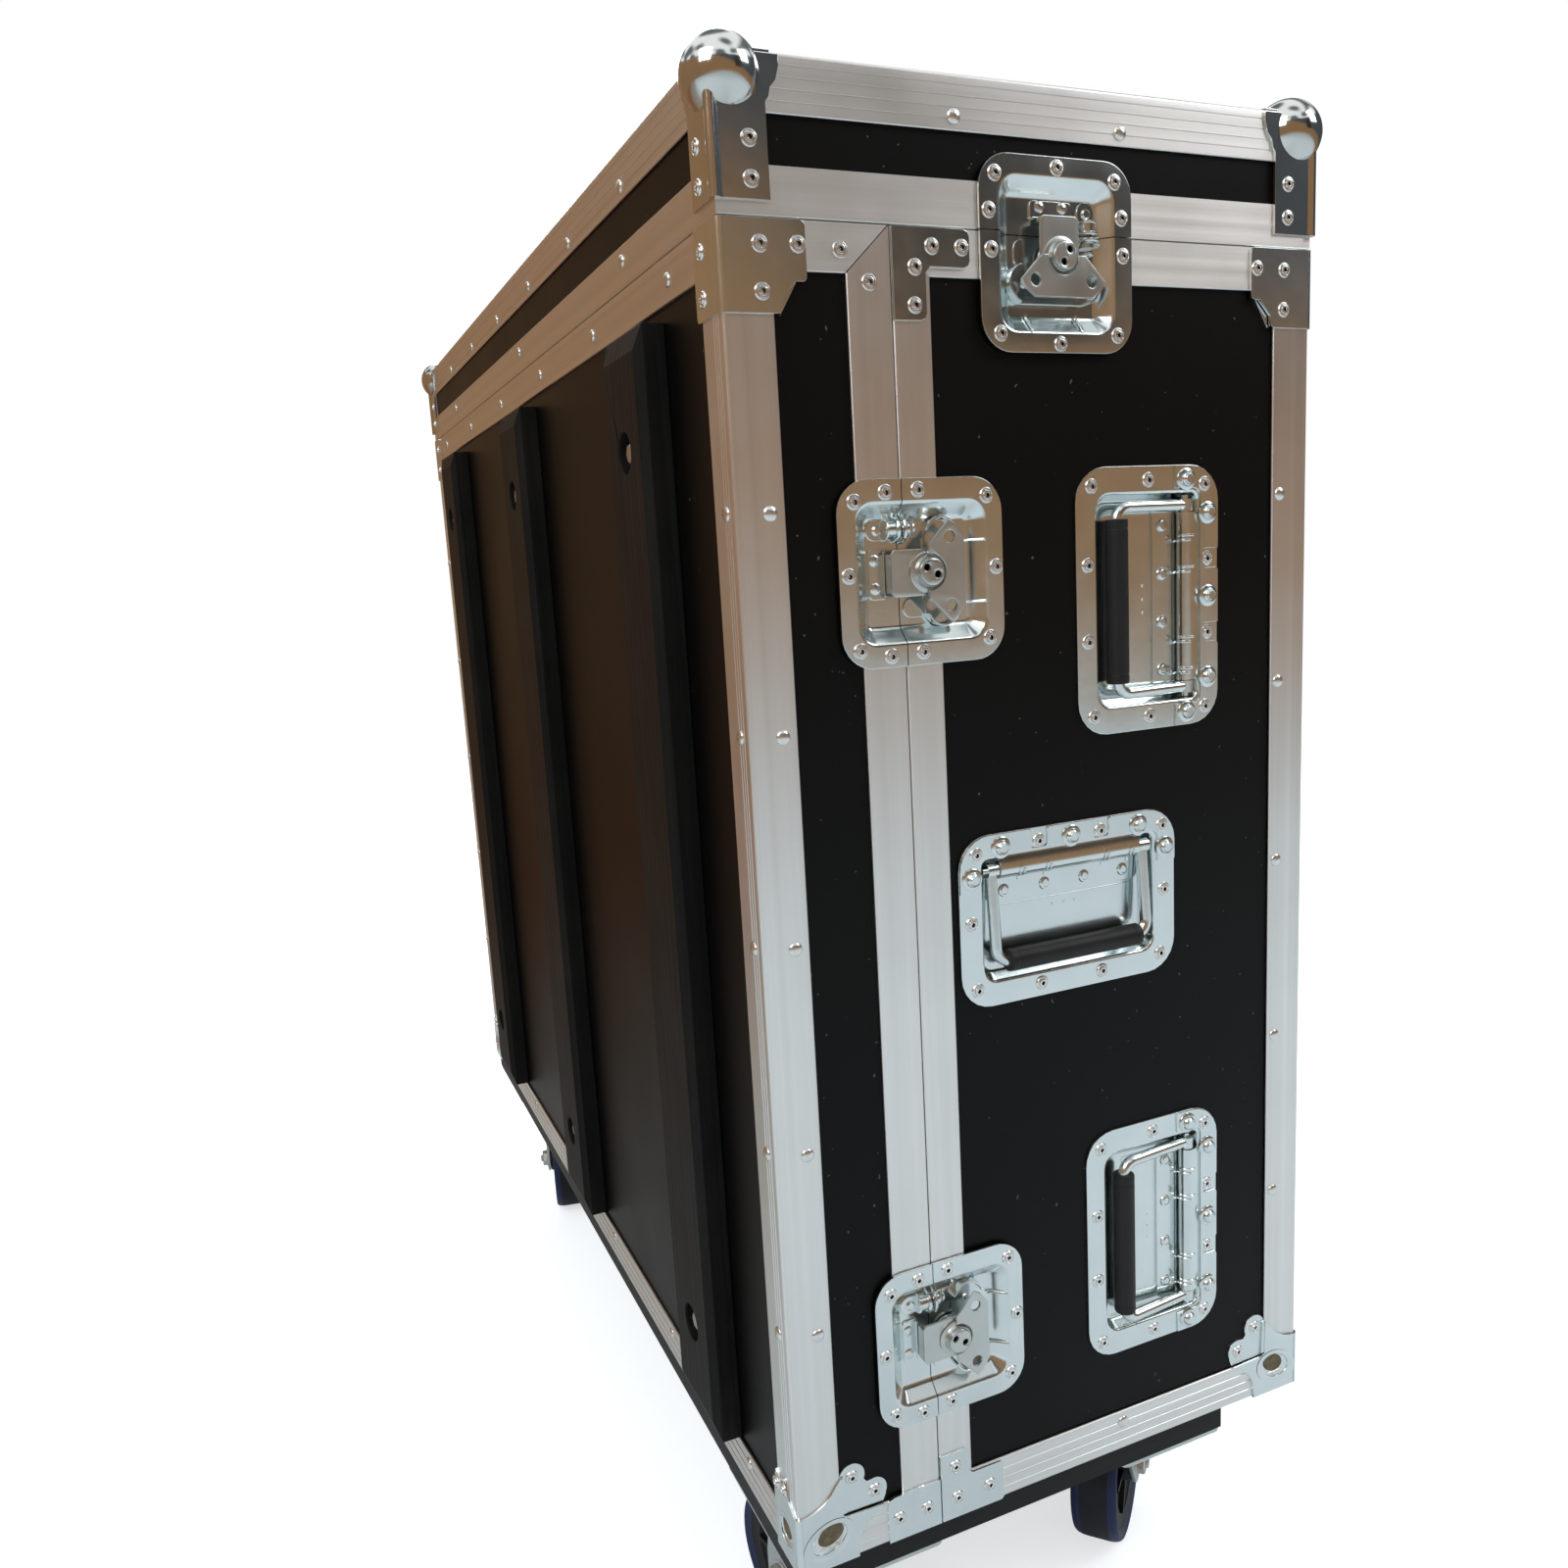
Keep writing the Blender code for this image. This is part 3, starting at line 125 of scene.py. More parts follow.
def stage_mesh(name, points, faces, material):
    """A floor, wall or roof, which isn't part of the case."""
    mesh = bpy.data.meshes.new(name)
    mesh.from_pydata(points, [], faces)
    mesh.materials.append(material)
    thing = bpy.data.objects.new(name, mesh)
    scene.collection.objects.link(thing)
    return thing


def square(reach, height):
    """Corners and face of a level square about the middle of the set."""
    corners = [(x * reach, y * reach, height) for x, y in ((-1, -1), (1, -1), (1, 1), (-1, 1))]
    return corners, [(0, 1, 2, 3)]


def zone(tree, spot, share, ramps):
    """A share that grows along each ramp, which runs from one place to another on an axis."""
    for axis, start, stop in ramps:
        ramp = add(tree, "MapRange", {"Value": spot.outputs[axis], "From Min": start, "From Max": stop})
        share = add(tree, "Math", {0: ramp, 1: share}, operation="MULTIPLY")
    return share


# Matt white vinyl floor; what the camera sees of it is lifted to the white of the surround, and the
# case's shadow stays on it. Left of the case, reflections see instead a glowing patch painted as a
# brown carpet, paler towards the front: a painted reflection.
floor_paint, tree, place = new_material("white_floor_vinyl")
path = add(tree, "LightPath")
vinyl = add(tree, "BsdfDiffuse", {"Color": "#edf4f7"})
glow = add(tree, "Emission", {"Color": "#ffffff", "Strength": 0.62})
lifted = add(tree, "AddShader", {0: vinyl, 1: glow})
spot = add(tree, "SeparateXYZ", {0: place})
# Colour ramp of the carpet's painted reflection, paler towards the front.
browner_to_the_back = zone(tree, spot, 1.0, (("Y", 0.3, 1.8),))
nap = add(tree, "Mix", {"Factor": browner_to_the_back, "A": "#b5b0a6", "B": "#a07150"}, data_type="RGBA")
carpet = add(tree, "Emission", {"Color": nap, "Strength": 0.8})
share = zone(tree, spot, path.outputs["Is Glossy Ray"], (("X", -0.2, -0.45), ("Y", -0.4, 0.2)))
unseen = add(tree, "MixShader", {0: share, 1: vinyl, 2: carpet})
surface(floor_paint, tree, add(tree, "MixShader", {0: path.outputs["Is Camera Ray"], 1: unseen, 2: lifted}))
stage_mesh("floor", *square(14.0, 0.0), floor_paint)

# Hall round the set, which only reflections see: brown flats that darken towards their top and
# whiten towards the floor, a dark doorway high on the right, and a grey roof with skylights.
flat_paint, tree, place = new_material("brown_studio_flats")
spot = add(tree, "SeparateXYZ", {0: place})
across, back, height = (spot.outputs[axis] for axis in "XYZ")
slope = add(tree, "Math", {0: across, 1: 0.4, 2: height}, operation="MULTIPLY_ADD")
rise = add(tree, "MapRange", {"Value": slope, "From Min": 2.7, "From Max": 3.25})
tone = add(tree, "Mix", {"Factor": rise, "A": "#987656", "B": "#4d5257"}, data_type="RGBA")
door = zone(tree, spot, 1.0, (("X", 1.75, 2.0), ("X", 3.3, 3.0), ("Z", 1.5, 1.7)))
tone = add(tree, "Mix", {"Factor": door, "A": tone, "B": "#37332f"}, data_type="RGBA")
depth = add(tree, "Math", {0: back, 1: 0.2, 2: height}, operation="MULTIPLY_ADD")
foot = add(tree, "MapRange", {"Value": depth, "From Min": -0.9, "From Max": -0.2})
tone = add(tree, "Mix", {"Factor": foot, "A": "#c6c8c6", "B": tone}, data_type="RGBA")
surface(flat_paint, tree, add(tree, "Emission", {"Color": tone, "Strength": 1.0}))

roof_paint, tree, place = new_material("hall_roof_with_skylights")
patch = add(tree, "TexNoise", {"Vector": place, "Scale": 0.5, "Detail": 0.0})
opening = add(tree, "MapRange", {"Value": patch, "From Min": 0.42, "From Max": 0.56})
tone = add(tree, "Mix", {"Factor": opening, "A": "#6a7073", "B": "#ffffff"}, data_type="RGBA")
surface(roof_paint, tree, add(tree, "Emission", {"Color": tone, "Strength": 1.15}))

FLATS, FLAT_RADIUS, ROOF_REACH, ROOF_HEIGHT = 32, 5.0, 5.2, 4.0
turns = [2 * math.pi * i / FLATS for i in range(FLATS)]
ring = [(FLAT_RADIUS * math.cos(a), FLAT_RADIUS * math.sin(a)) for a in turns]
points = [(x, y, z) for z in (0.0, ROOF_HEIGHT) for x, y in ring]
faces = [(i, (i + 1) % FLATS, FLATS + (i + 1) % FLATS, FLATS + i) for i in range(FLATS)]
flats = stage_mesh("studio_flats", points, faces, flat_paint)
roof = stage_mesh("hall_roof", *square(ROOF_REACH, ROOF_HEIGHT), roof_paint)
for thing in (flats, roof):
    thing.visible_camera = False
    thing.visible_diffuse = False
    thing.visible_shadow = False


# Shell panels: 9 mm birch ply faced with black phenolic laminate, set back in the edging. The
# pieces are the CAD panels as they are, sawn and glued into the aluminium.
def black_laminate():
    """Phenolic laminate, satin, pressed against a fine-grained plate: soft blurred gloss with a
    faint orange peel of about 2 mm and a few pale specks of dust."""
    material, tree, place = new_material("black_phenolic_laminate")
    peel = add(tree, "TexNoise", {"Vector": place, "Scale": 450.0, "Detail": 2.0})
    cloud = add(tree, "TexNoise", {"Vector": place, "Scale": 9.0, "Detail": 3.0})
    speck = add(tree, "TexNoise", {"Vector": place, "Scale": 260.0, "Detail": 1.0})
    dust = add(tree, "MapRange", {"Value": speck, "From Min": 0.775, "From Max": 0.80})
    tone = add(tree, "Mix", {"Factor": dust, "A": "#050505", "B": "#4a4c4e"}, data_type="RGBA")
    gloss = add(tree, "MapRange", {"Value": cloud, "To Min": 0.36, "To Max": 0.46})
    bump = add(tree, "Bump", {"Strength": 0.05, "Distance": 0.0003, "Height": peel})
    shader = add(tree, "BsdfPrincipled", {
        "Base Color": tone, "Roughness": gloss, "Normal": bump, "Specular IOR Level": 0.14,
    })
    return surface(material, tree, shader)


laminate = black_laminate()
main_panels = [f"main_{side}_panel" for side in ("front", "back", "side", "bottom")]
for node in (*main_panels, "tray_shell", "lid_shell"):
    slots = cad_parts[node].data.materials
    slots.clear()
    slots.append(laminate)

# Place of the case: its own millimetres run from the left face, the front face and the underside of
# the shells, and every piece below is drawn in them.
MM = 0.001
SHEET, PLAY = 1.5, 0.3
CASE = Vector(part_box("tray_frame")[0]) + Vector((SHEET * MM, SHEET * MM, 0))


def box_of(node):
    """Low and high corner of a CAD node's box in case millimetres."""
    return [(Vector(point) - CASE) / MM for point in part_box(node)]


def middle_of(node):
    """Middle of a CAD node's box in case millimetres."""
    low, high = box_of(node)
    return (low + high) / 2


WIDTH = box_of("main_frame")[1].x - SHEET
LENGTH = box_of("main_frame")[1].y - SHEET
SPLIT = box_of("latch_keeper_front_upper")[1].x + PLAY
BODY = box_of("lid_frame")[0].z - PLAY
PANEL_SET = box_of("main_front_panel")[0].y
TOP = box_of("lid_shell")[1].z + PANEL_SET


def drawn(*parts):
    """A mesh made of parts, each given as its function and what it takes after the mesh."""
    bm = bmesh.new()
    for make, *details in parts:
        make(bm, *details)
    return bm


def piece(name, bm, materials, body, nodes=(), bevel=0.0, sharp=35, solid=0.0):
    """A piece from a mesh drawn in case millimetres, riding on a body."""
    bmesh.ops.remove_doubles(bm, verts=bm.verts, dist=0.001)
    bmesh.ops.recalc_face_normals(bm, faces=bm.faces)
    bm.transform(Matrix.Translation(CASE) @ Matrix.Scale(MM, 4))
    mesh = bpy.data.meshes.new(name)
    bm.to_mesh(mesh)
    bm.free()
    for material in materials:
        mesh.materials.append(material)
    mesh.shade_smooth()
    mesh.set_sharp_from_angle(angle=math.radians(sharp))
    thing = bpy.data.objects.new(name, mesh)
    scene.collection.objects.link(thing)
    if solid:
        shell = thing.modifiers.new("sheet", "SOLIDIFY")
        shell.thickness, shell.offset = solid * MM, -1.0
    if bevel:
        edge = thing.modifiers.new("edges", "BEVEL")
        edge.width, edge.segments, edge.limit_method = bevel * MM, 2, "ANGLE"
        edge.angle_limit = math.radians(30)
    thing.modifiers.new("flat_faces", "WEIGHTED_NORMAL").keep_sharp = True
    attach(thing, body)
    if nodes:
        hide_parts(*nodes)
    return thing


def inset(outline, by):
    """An anticlockwise outline moved inwards, or outwards by a negative amount."""
    moved = []
    for i, point in enumerate(outline):
        a, b, c = Vector(outline[i - 1]), Vector(point), Vector(outline[(i + 1) % len(outline)])
        first, second = (b - a).normalized(), (c - b).normalized()
        inward = Vector((-first.y - second.y, first.x + second.x))
        if inward.length < 1e-6:
            inward = Vector((-first.y, first.x))
        inward.normalize()
        share = max(inward.dot(Vector((-first.y, first.x))), 0.5)
        moved.append(tuple(b + inward * (by / share)))
    return moved


def skin(bm, low, high, paint=0, closed=True):
    """Faces between two loops of as many vertices."""
    for i in range(0 if closed else 1, len(low)):
        bm.faces.new((low[i - 1], low[i], high[i], high[i - 1])).material_index = paint


def loft(bm, rings, turn=Matrix(), paint=0, closed=True, start=False, end=False):
    """A skin through outlines with as many points each, given with their heights."""
    loops = [[bm.verts.new(turn @ Vector((x, y, z))) for x, y in outline] for outline, z in rings]
    for low, high in zip(loops, loops[1:]):
        skin(bm, low, high, paint, closed)
    for wanted, loop in ((start, loops[0]), (end, loops[-1])):
        if wanted:
            bm.faces.new(loop).material_index = paint
    return loops


def filled(bm, loops, verts, paint=0):
    """A flat face with holes: its loops in the plane, the outer one first, and their vertices."""
    for triangle in tessellate_polygon([[(x, y, 0) for x, y in loop] for loop in loops]):
        bm.faces.new([verts[i] for i in triangle]).material_index = paint


def slab(bm, outline, low, high, turn=Matrix(), paint=0, edge=0.35, holes=()):
    """A plate in the local XY plane, its upper edges rounded over, with holes cut through."""
    sides = ((low, 0.0), (high - edge, 0.0), (high - 0.3 * edge, 0.3), (high, 1.0))
    walls = []
    for loop in (outline, *holes):
        sign = 1 if loop is outline else -1
        rings = [(inset(loop, sign * share * edge), z) for z, share in sides]
        walls.append((rings, loft(bm, rings, turn, paint, start=not holes, end=not holes)))
    for level in (0, -1) if holes else ():
        verts = [vert for _, loops in walls for vert in loops[level]]
        filled(bm, [rings[level][0] for rings, _ in walls], verts, paint)


def arc(centre, radius, start, end, steps=5):
    """Points on an arc, in degrees."""
    angles = [math.radians(start + (end - start) * i / steps) for i in range(steps + 1)]
    return [(centre[0] + radius * math.cos(a), centre[1] + radius * math.sin(a)) for a in angles]


def rounded(low, high, radii, steps=5):
    """A rectangle with one radius, or one for each corner from the low-low one anticlockwise."""
    (x0, y0), (x1, y1) = low, high
    a, b, c, d = radii if hasattr(radii, "__len__") else [radii] * 4
    outline = arc((x0 + a, y0 + a), a, 180, 270, steps) + arc((x1 - b, y0 + b), b, 270, 360, steps)
    return outline + arc((x1 - c, y1 - c), c, 0, 90, steps) + arc((x0 + d, y1 - d), d, 90, 180, steps)


def lathe(bm, profile, turn=Matrix(), sides=20, paint=0, at=(0, 0, 0)):
    """A round shape about local Z from (radius, height) points; a radius of 0 closes it."""
    turn = turn @ Matrix.Translation(at)
    rings = []
    for radius, z in profile:
        spots = 1 if radius == 0 else sides
        angles = [2 * math.pi * i / spots for i in range(spots)]
        ring = [(radius * math.cos(a), radius * math.sin(a), z) for a in angles]
        rings.append([bm.verts.new(turn @ Vector(spot)) for spot in ring])
    for low, high in zip(rings, rings[1:]):
        for i in range(sides):
            corners = [loop[k % len(loop)] for loop, k in ((low, i), (low, i + 1), (high, i + 1), (high, i))]
            unique = list(dict.fromkeys(corners))
            if len(unique) > 2:
                bm.faces.new(unique).material_index = paint


def bar(bm, path, radius, sides=12, turn=Matrix(), paint=0):
    """A round bar along a path of points."""
    points = [turn @ Vector(point) for point in path]
    rings, up = [], None
    for i, point in enumerate(points):
        before = (point - points[max(i - 1, 0)]).normalized()
        after = (points[min(i + 1, len(points) - 1)] - point).normalized()
        along = (before + after).normalized()
        if up is None:
            up = along.orthogonal().normalized()
        up = (up - along * up.dot(along)).normalized()
        across = along.cross(up)
        turns = [2 * math.pi * k / sides for k in range(sides)]
        spots = [point + radius * (up * math.cos(a) + across * math.sin(a)) for a in turns]
        rings.append([bm.verts.new(spot) for spot in spots])
    for low, high in zip(rings, rings[1:]):
        skin(bm, low, high, paint)
    for ring in (rings[0], rings[-1]):
        bm.faces.new(ring).material_index = paint


# Edging: extruded mill aluminium, a 30 mm angle on every outer corner and a closing rim with tongue
# or groove at each split. The lengths are sawn, mitred and riveted through the ply.
LEG, ALU, PLY = 30.0, 1.8, 9.0
TRAY_RIM, MAIN_RIM, BODY_RIM, LID_RIM = 27.8, 24.5, 26.5, 26.0
DEEP = PANEL_SET + PLY + PLAY + ALU
TONGUE_NEAR, TONGUE_FAR, TONGUE_OUT = 4.8, 8.4, 3.0
GAP, MITRE_GAP, LATCH_HALF = 0.15, 0.8, 42.0
CORNER, ROUND, SQUARE = (1, 1), (0, 1), (0, 0)
AXES = (Vector((1, 0, 0)), Vector((0, 1, 0)), Vector((0, 0, 1)))
X, Y, Z = AXES


def mill_aluminium(axis):
    """Extruded aluminium left as drawn: half-gloss metal with lines from the die, about 1 mm wide
    and running the whole length, slightly warmer and cooler bands between them, and a gloss that
    the lines draw out across them."""
    material, tree, place = new_material("mill_aluminium_" + "xyz"[axis])
    noises = []
    for lines_across, lines_along, detail in ((700.0, 1.5, 3.0), (154.0, 0.66, 2.0)):
        stretch = [lines_across] * 3
        stretch[axis] = lines_along
        drawn_out = add(tree, "Mapping", {"Vector": place, "Scale": stretch})
        noises.append(add(tree, "TexNoise", {"Vector": drawn_out, "Scale": 1.0, "Detail": detail}))
    fine, bands = noises
    smears = add(tree, "TexNoise", {"Vector": place, "Scale": 16.0, "Detail": 4.0})
    tone = add(tree, "Mix", {"Factor": bands, "A": "#d6d5d2", "B": "#f2f3f3"}, data_type="RGBA")
    gloss = add(tree, "MapRange", {"Value": smears, "To Min": 0.30, "To Max": 0.46})
    bump = add(tree, "Bump", {"Strength": 0.22, "Distance": 0.0002, "Height": fine})
    direction = ((0.02, 0.3, 1.0), (0.3, 0.02, 1.0), (1.0, 1.0, 0.02))[axis]
    across = add(tree, "CombineXYZ", dict(zip("XYZ", direction)))
    shader = add(tree, "BsdfPrincipled", {
        "Base Color": tone, "Metallic": 1.0, "Roughness": gloss, "Normal": bump,
        "Anisotropic": 0.6, "Tangent": across,
    })
    return surface(material, tree, shader)


aluminium = [mill_aluminium(axis) for axis in range(3)]


def groove(at, width=1.1, depth=0.4):
    """Points of a shallow drawn groove across a leg, at a distance from the corner."""
    low, high, slope = at - width / 2, at + width / 2, min(width / 4, 0.6)
    return [(low, 0), (low + slope, depth), (high - slope, depth), (high, 0)]


def angle_profile(grooves_a, grooves_b, radius=2.2):
    """Section of the corner angle, its outer corner at (0, 0) and a leg along each axis."""
    front_leg = [point for at in grooves_a for point in groove(at)]
    side_leg = [(b, a) for at in reversed(grooves_b) for a, b in reversed(groove(at))]
    corner = arc((radius, radius), radius, 180, 270, 4)
    outline = side_leg + corner + front_leg + [(LEG - 0.5, 0), (LEG, 0.5), (LEG, ALU - 0.5), (LEG - 0.5, ALU)]
    return outline + [(ALU, ALU), (ALU, LEG), (0.5, LEG), (0, LEG - 0.5)]


def rim_profile(width, tongue):
    """Section of a closing rim, its outer edge on the split at (0, 0), its face along the first axis."""
    face = [point for share in (0.32, 0.68) for point in groove(width * share, width * 0.2, 0.12)]
    lip = [(width - 0.5, 0), (width, 0.5), (width, ALU), (4.5, ALU), (4.5, DEEP - ALU)]
    lip += [(12.0, DEEP - ALU), (12.0, DEEP)]
    out, spare = (-TONGUE_OUT, 0) if tongue else (TONGUE_OUT - PLAY, PLAY)
    far, near = TONGUE_FAR + spare, TONGUE_NEAR - spare
    return [(0.6, 0)] + face + lip + [(0, DEEP), (0, far), (out, far), (out, near), (0, near), (0, 0.6)]


def length_of(bm, profile, origin, along, a, b, reach, start=SQUARE, end=SQUARE):
    """One sawn length: a section swept along an axis, its ends cut back in share of each leg."""
    paint = [abs(round(along.dot(axis))) for axis in AXES].index(1)
    rings = []
    for base, sign, (share_a, share_b) in ((0, 1, start), (reach, -1, end)):
        ring = []
        for u, v in profile:
            at = base + sign * max(share_a * max(u, 0), share_b * max(v, 0))
            ring.append(bm.verts.new(origin + along * at + a * u + b * v))
        rings.append(ring)
        bm.faces.new(ring).material_index = paint
    skin(bm, *rings, paint)


def lengths_between(bm, profile, origin, along, a, b, run, start, end):
    """The lengths of a rim between its latches: run is its two ends and the latches' middles."""
    first, last, *middles = run
    cuts = [middle + side for middle in sorted(middles) for side in (-LATCH_HALF, LATCH_HALF)]
    marks = [first, *cuts, last]
    for low, high in zip(marks[::2], marks[1::2]):
        joins = start if low == first else SQUARE, end if high == last else SQUARE
        length_of(bm, profile, origin + along * low, along, a, b, high - low, *joins)


def ends():
    """Front and back of the case: name, y of the face and the direction into the case."""
    return (("front", 0.0, Y), ("back", LENGTH, -Y))


LATCH_Z = [middle_of(f"latch_dish_front_{name}").z for name in ("upper", "lower")]
TOP_LATCH_X = middle_of("latch_dish_front_top").x
TRAY_EDGE, MAIN_EDGE, BODY_TOP = SPLIT - PLAY, SPLIT + PLAY, BODY - PLAY
upright = angle_profile((), (6.5, 10, 13.5))
level = angle_profile((8, 15, 22), (8, 15, 22))
lid_angle = angle_profile((6, 12, 18, 24), (8, 15, 22))

for shell, x, u, edge, rim_width, spare, top_run in (
    ("tray", 0, X, TRAY_EDGE, TRAY_RIM, 0, (GAP, TRAY_EDGE - MITRE_GAP)),
    ("main", WIDTH, -X, MAIN_EDGE, MAIN_RIM, PLAY, (0, WIDTH - MAIN_EDGE, WIDTH - TOP_LATCH_X)),
):
    bm = bmesh.new()
    rim = rim_profile(rim_width - PLAY, shell == "main")
    top_rim = rim_profile(BODY_RIM - PLAY, shell == "main")
    level_reach = abs(x - edge) + spare - rim_width - GAP
    for _, y, inward in ends():
        corner, seam = Vector((x, y, 0)), Vector((edge, y, 0))
        length_of(bm, upright, corner, Z, u, inward, BODY - BODY_RIM - GAP, start=CORNER)
        length_of(bm, level, corner, u, Z, inward, level_reach, start=CORNER)
        mitre, top_mitre = (BODY_RIM / rim_width, 0), (rim_width / BODY_RIM, 0)
        lengths_between(bm, rim, seam, Z, -u, inward, (0, BODY_TOP, *LATCH_Z), ROUND, mitre)
        lengths_between(bm, top_rim, corner + Z * BODY_TOP, u, -Z, inward, top_run, ROUND, top_mitre)
    length_of(bm, level, X * x, Y, Z, u, LENGTH, CORNER, CORNER)
    length_of(bm, rim, X * edge, Y, -u, Z, LENGTH, ROUND, ROUND)
    length_of(bm, top_rim, X * x + Z * BODY_TOP, Y, -Z, u, LENGTH, ROUND, ROUND)
    piece(f"{shell}_edging", bm, aluminium, shell, [f"{shell}_frame"])

bm = bmesh.new()
rim = rim_profile(LID_RIM - PLAY, False)
lid_low, lid_foot = Z * (BODY + PLAY), BODY + LID_RIM + GAP
for _, y, inward in ends():
    lengths_between(bm, rim, Y * y + lid_low, X, Z, inward, (0, WIDTH, TOP_LATCH_X), ROUND, ROUND)
    length_of(bm, lid_angle, Y * y + Z * TOP, X, -Z, inward, WIDTH, CORNER, CORNER)
    for x, inner in ((0, X), (WIDTH, -X)):
        length_of(bm, upright, Vector((x, y, lid_foot)), Z, inner, inward, TOP - lid_foot, end=CORNER)
for x, inner in ((0, X), (WIDTH, -X)):
    length_of(bm, rim, X * x + lid_low, Y, Z, inner, LENGTH, ROUND, ROUND)
    length_of(bm, lid_angle, X * x + Z * TOP, Y, -Z, inner, LENGTH, CORNER, CORNER)
piece("lid_edging", bm, aluminium, "lid", ["lid_frame"])


# Rivets: aluminium blind rivets with a low domed head, closed along the edging and with the dimple
# of the pulled mandrel elsewhere. Each list gives a place and its outward normal.
def mottled(name, tones, gloss, broad, fine, dent, metal=0.0, specular=0.5, stretch=(1, 1, 1)):
    """A material whose colour and gloss drift over a broad noise and whose surface has the dents of
    a fine one. A noise is given as scale and detail, the dents as strength and depth in metres."""
    material, tree, place = new_material(name)
    place = add(tree, "Mapping", {"Vector": place, "Scale": stretch})
    drift = add(tree, "TexNoise", {"Vector": place, "Scale": broad[0], "Detail": broad[1]})
    grain = add(tree, "TexNoise", {"Vector": place, "Scale": fine[0], "Detail": fine[1]})
    tone = add(tree, "Mix", {"Factor": drift, "A": tones[0], "B": tones[1]}, data_type="RGBA")
    gloss = add(tree, "MapRange", {"Value": drift, "To Min": gloss[0], "To Max": gloss[1]})
    bump = add(tree, "Bump", {"Strength": dent[0], "Distance": dent[1], "Height": grain})
    shader = add(tree, "BsdfPrincipled", {
        "Base Color": tone, "Metallic": metal, "Roughness": gloss, "Normal": bump,
        "Specular IOR Level": specular,
    })
    return surface(material, tree, shader)


def painted_hole_shade():
    """Painted shade for the bottom and sides of a rivet's mandrel hole: black that gives no reflection,
    standing in for a deep hole.
    """
    material, tree, _ = new_material("rivet_bore_painted_shade")
    return surface(material, tree, add(tree, "BsdfDiffuse", {"Color": "#050505"}))


# Aluminium heads tumbled bright, with small dents of about 1 mm that break up their gloss.
rivet = mottled(
    "aluminium_rivet", ("#e2e3e2", "#e2e3e2"), (0.26, 0.26), (38.0, 4.0), (900.0, 2.0), (0.25, 0.0003),
    metal=1.0,
)
# Black painted shade for the bottoms of rivet bores and spanner holes.
bore = painted_hole_shade()
RIVET_HEAD = (
    (1.2, 1.0), (1.4, 1.55), (2.0, 1.7), (2.6, 1.5), (2.95, 0.65), (3.25, 0.6), (3.6, 0.95),
    (4.2, 0.85), (4.6, 0.4), (4.75, 0), (4.6, -0.2),
)
RIVET_BORE = ((0, -0.3), (1.15, -0.3), (1.22, 1.02))
CLOSED_HEAD = ((0, 1.9), (1.5, 1.8), (2.8, 1.45), (3.7, 0.95), (4.2, 0.4), (4.3, 0), (4.2, -0.2))


def rivets(bm, places, closed=False):
    """Blind rivet heads at places, each with its outward direction; a bore takes the second paint."""
    for place, outward in places:
        tilt = Vector(outward).to_track_quat("Z", "Y").to_matrix().to_4x4()
        turn = Matrix.Translation(Vector(place)) @ tilt
        lathe(bm, CLOSED_HEAD if closed else RIVET_HEAD, turn)
        if not closed:
            # The bore is lined with black painted shade.
            lathe(bm, RIVET_BORE, turn, paint=1)


def on_both_ends(places):
    """Places on the front end again on the back end."""
    return places + [((x, LENGTH - y, z), (n[0], -n[1], n[2])) for (x, y, z), n in places]


OUT_LEFT, OUT_RIGHT, OUT_FRONT, OUT_UP = (-1, 0, 0), (1, 0, 0), (0, -1, 0), (0, 0, 1)
UPRIGHT_Z = (656.6, 532.8, 408.4, 280.3, 161.5)
IN_SIDE_LEG, LONG_EDGE_Z, PER_LONG_EDGE = 12.3, (796, 21.5), 6
for shell, x, out, front_x, lift, domed, pulled in (
    ("tray", 0, OUT_LEFT, 21, 1, [], [(71, 795.5), (88, 779.2), (88, 28)]),
    ("main", WIDTH, OUT_RIGHT, WIDTH - 23.5, 0, [(250.7, 21.6)], []),
):
    front = [((a, 0, z), OUT_FRONT) for a, z in [(front_x, z) for z in UPRIGHT_Z] + domed]
    side = [((x, IN_SIDE_LEG, z + lift), out) for z in UPRIGHT_Z]
    spread = [LENGTH * (i + 0.5) / PER_LONG_EDGE for i in range(PER_LONG_EDGE)]
    long_edges = [((x, y, z), out) for z in LONG_EDGE_Z for y in spread]
    bores = on_both_ends([((a, 0, z), OUT_FRONT) for a, z in pulled])
    bm = drawn((rivets, on_both_ends(front + side) + long_edges, True), (rivets, bores))
    piece(f"{shell}_rivets", bm, [rivet, bore], shell)

LID_FRONT_Z, LID_SIDE_Z, LID_RIM_Z, ON_TOP, FIRST_Y = 868.9, 869.2, 826.4, 18, 162.5
places = on_both_ends([((x, 0, LID_FRONT_Z), OUT_FRONT) for x in (145.5, 259.6)])
for x, out, x_on_top in ((0, OUT_LEFT, ON_TOP), (WIDTH, OUT_RIGHT, WIDTH - ON_TOP)):
    for i in range(PER_LONG_EDGE):
        y = FIRST_Y + i * (LENGTH - 2 * FIRST_Y) / (PER_LONG_EDGE - 1)
        places += [((x, y, LID_SIDE_Z), out), ((x_on_top, y, TOP), OUT_UP)]
    places += [((x, y, LID_RIM_Z), out) for y in (170, 492.3, 840)]
places += [((x, y, TOP), OUT_UP) for x in (120, 205, 290) for y in (ON_TOP, LENGTH - ON_TOP)]
piece("lid_rivets", drawn((rivets, places, True)), [rivet, bore], "lid")


# Zinc steel: brackets over the corners of the edging, 1.5 mm pressed sheet, bright zinc plated and
# cleared, each fixed with three or four blind rivets.
def zinc_plate(name, tones, gloss, swirl):
    """Bright zinc plate: mirror-like steel with the milky cloud of the passivate and faint ripples
    from pressing, about 10 mm apart."""
    return mottled(name, tones, gloss, (38.0, 4.0), (110.0, 1.0), (swirl, 0.0004), metal=1.0)


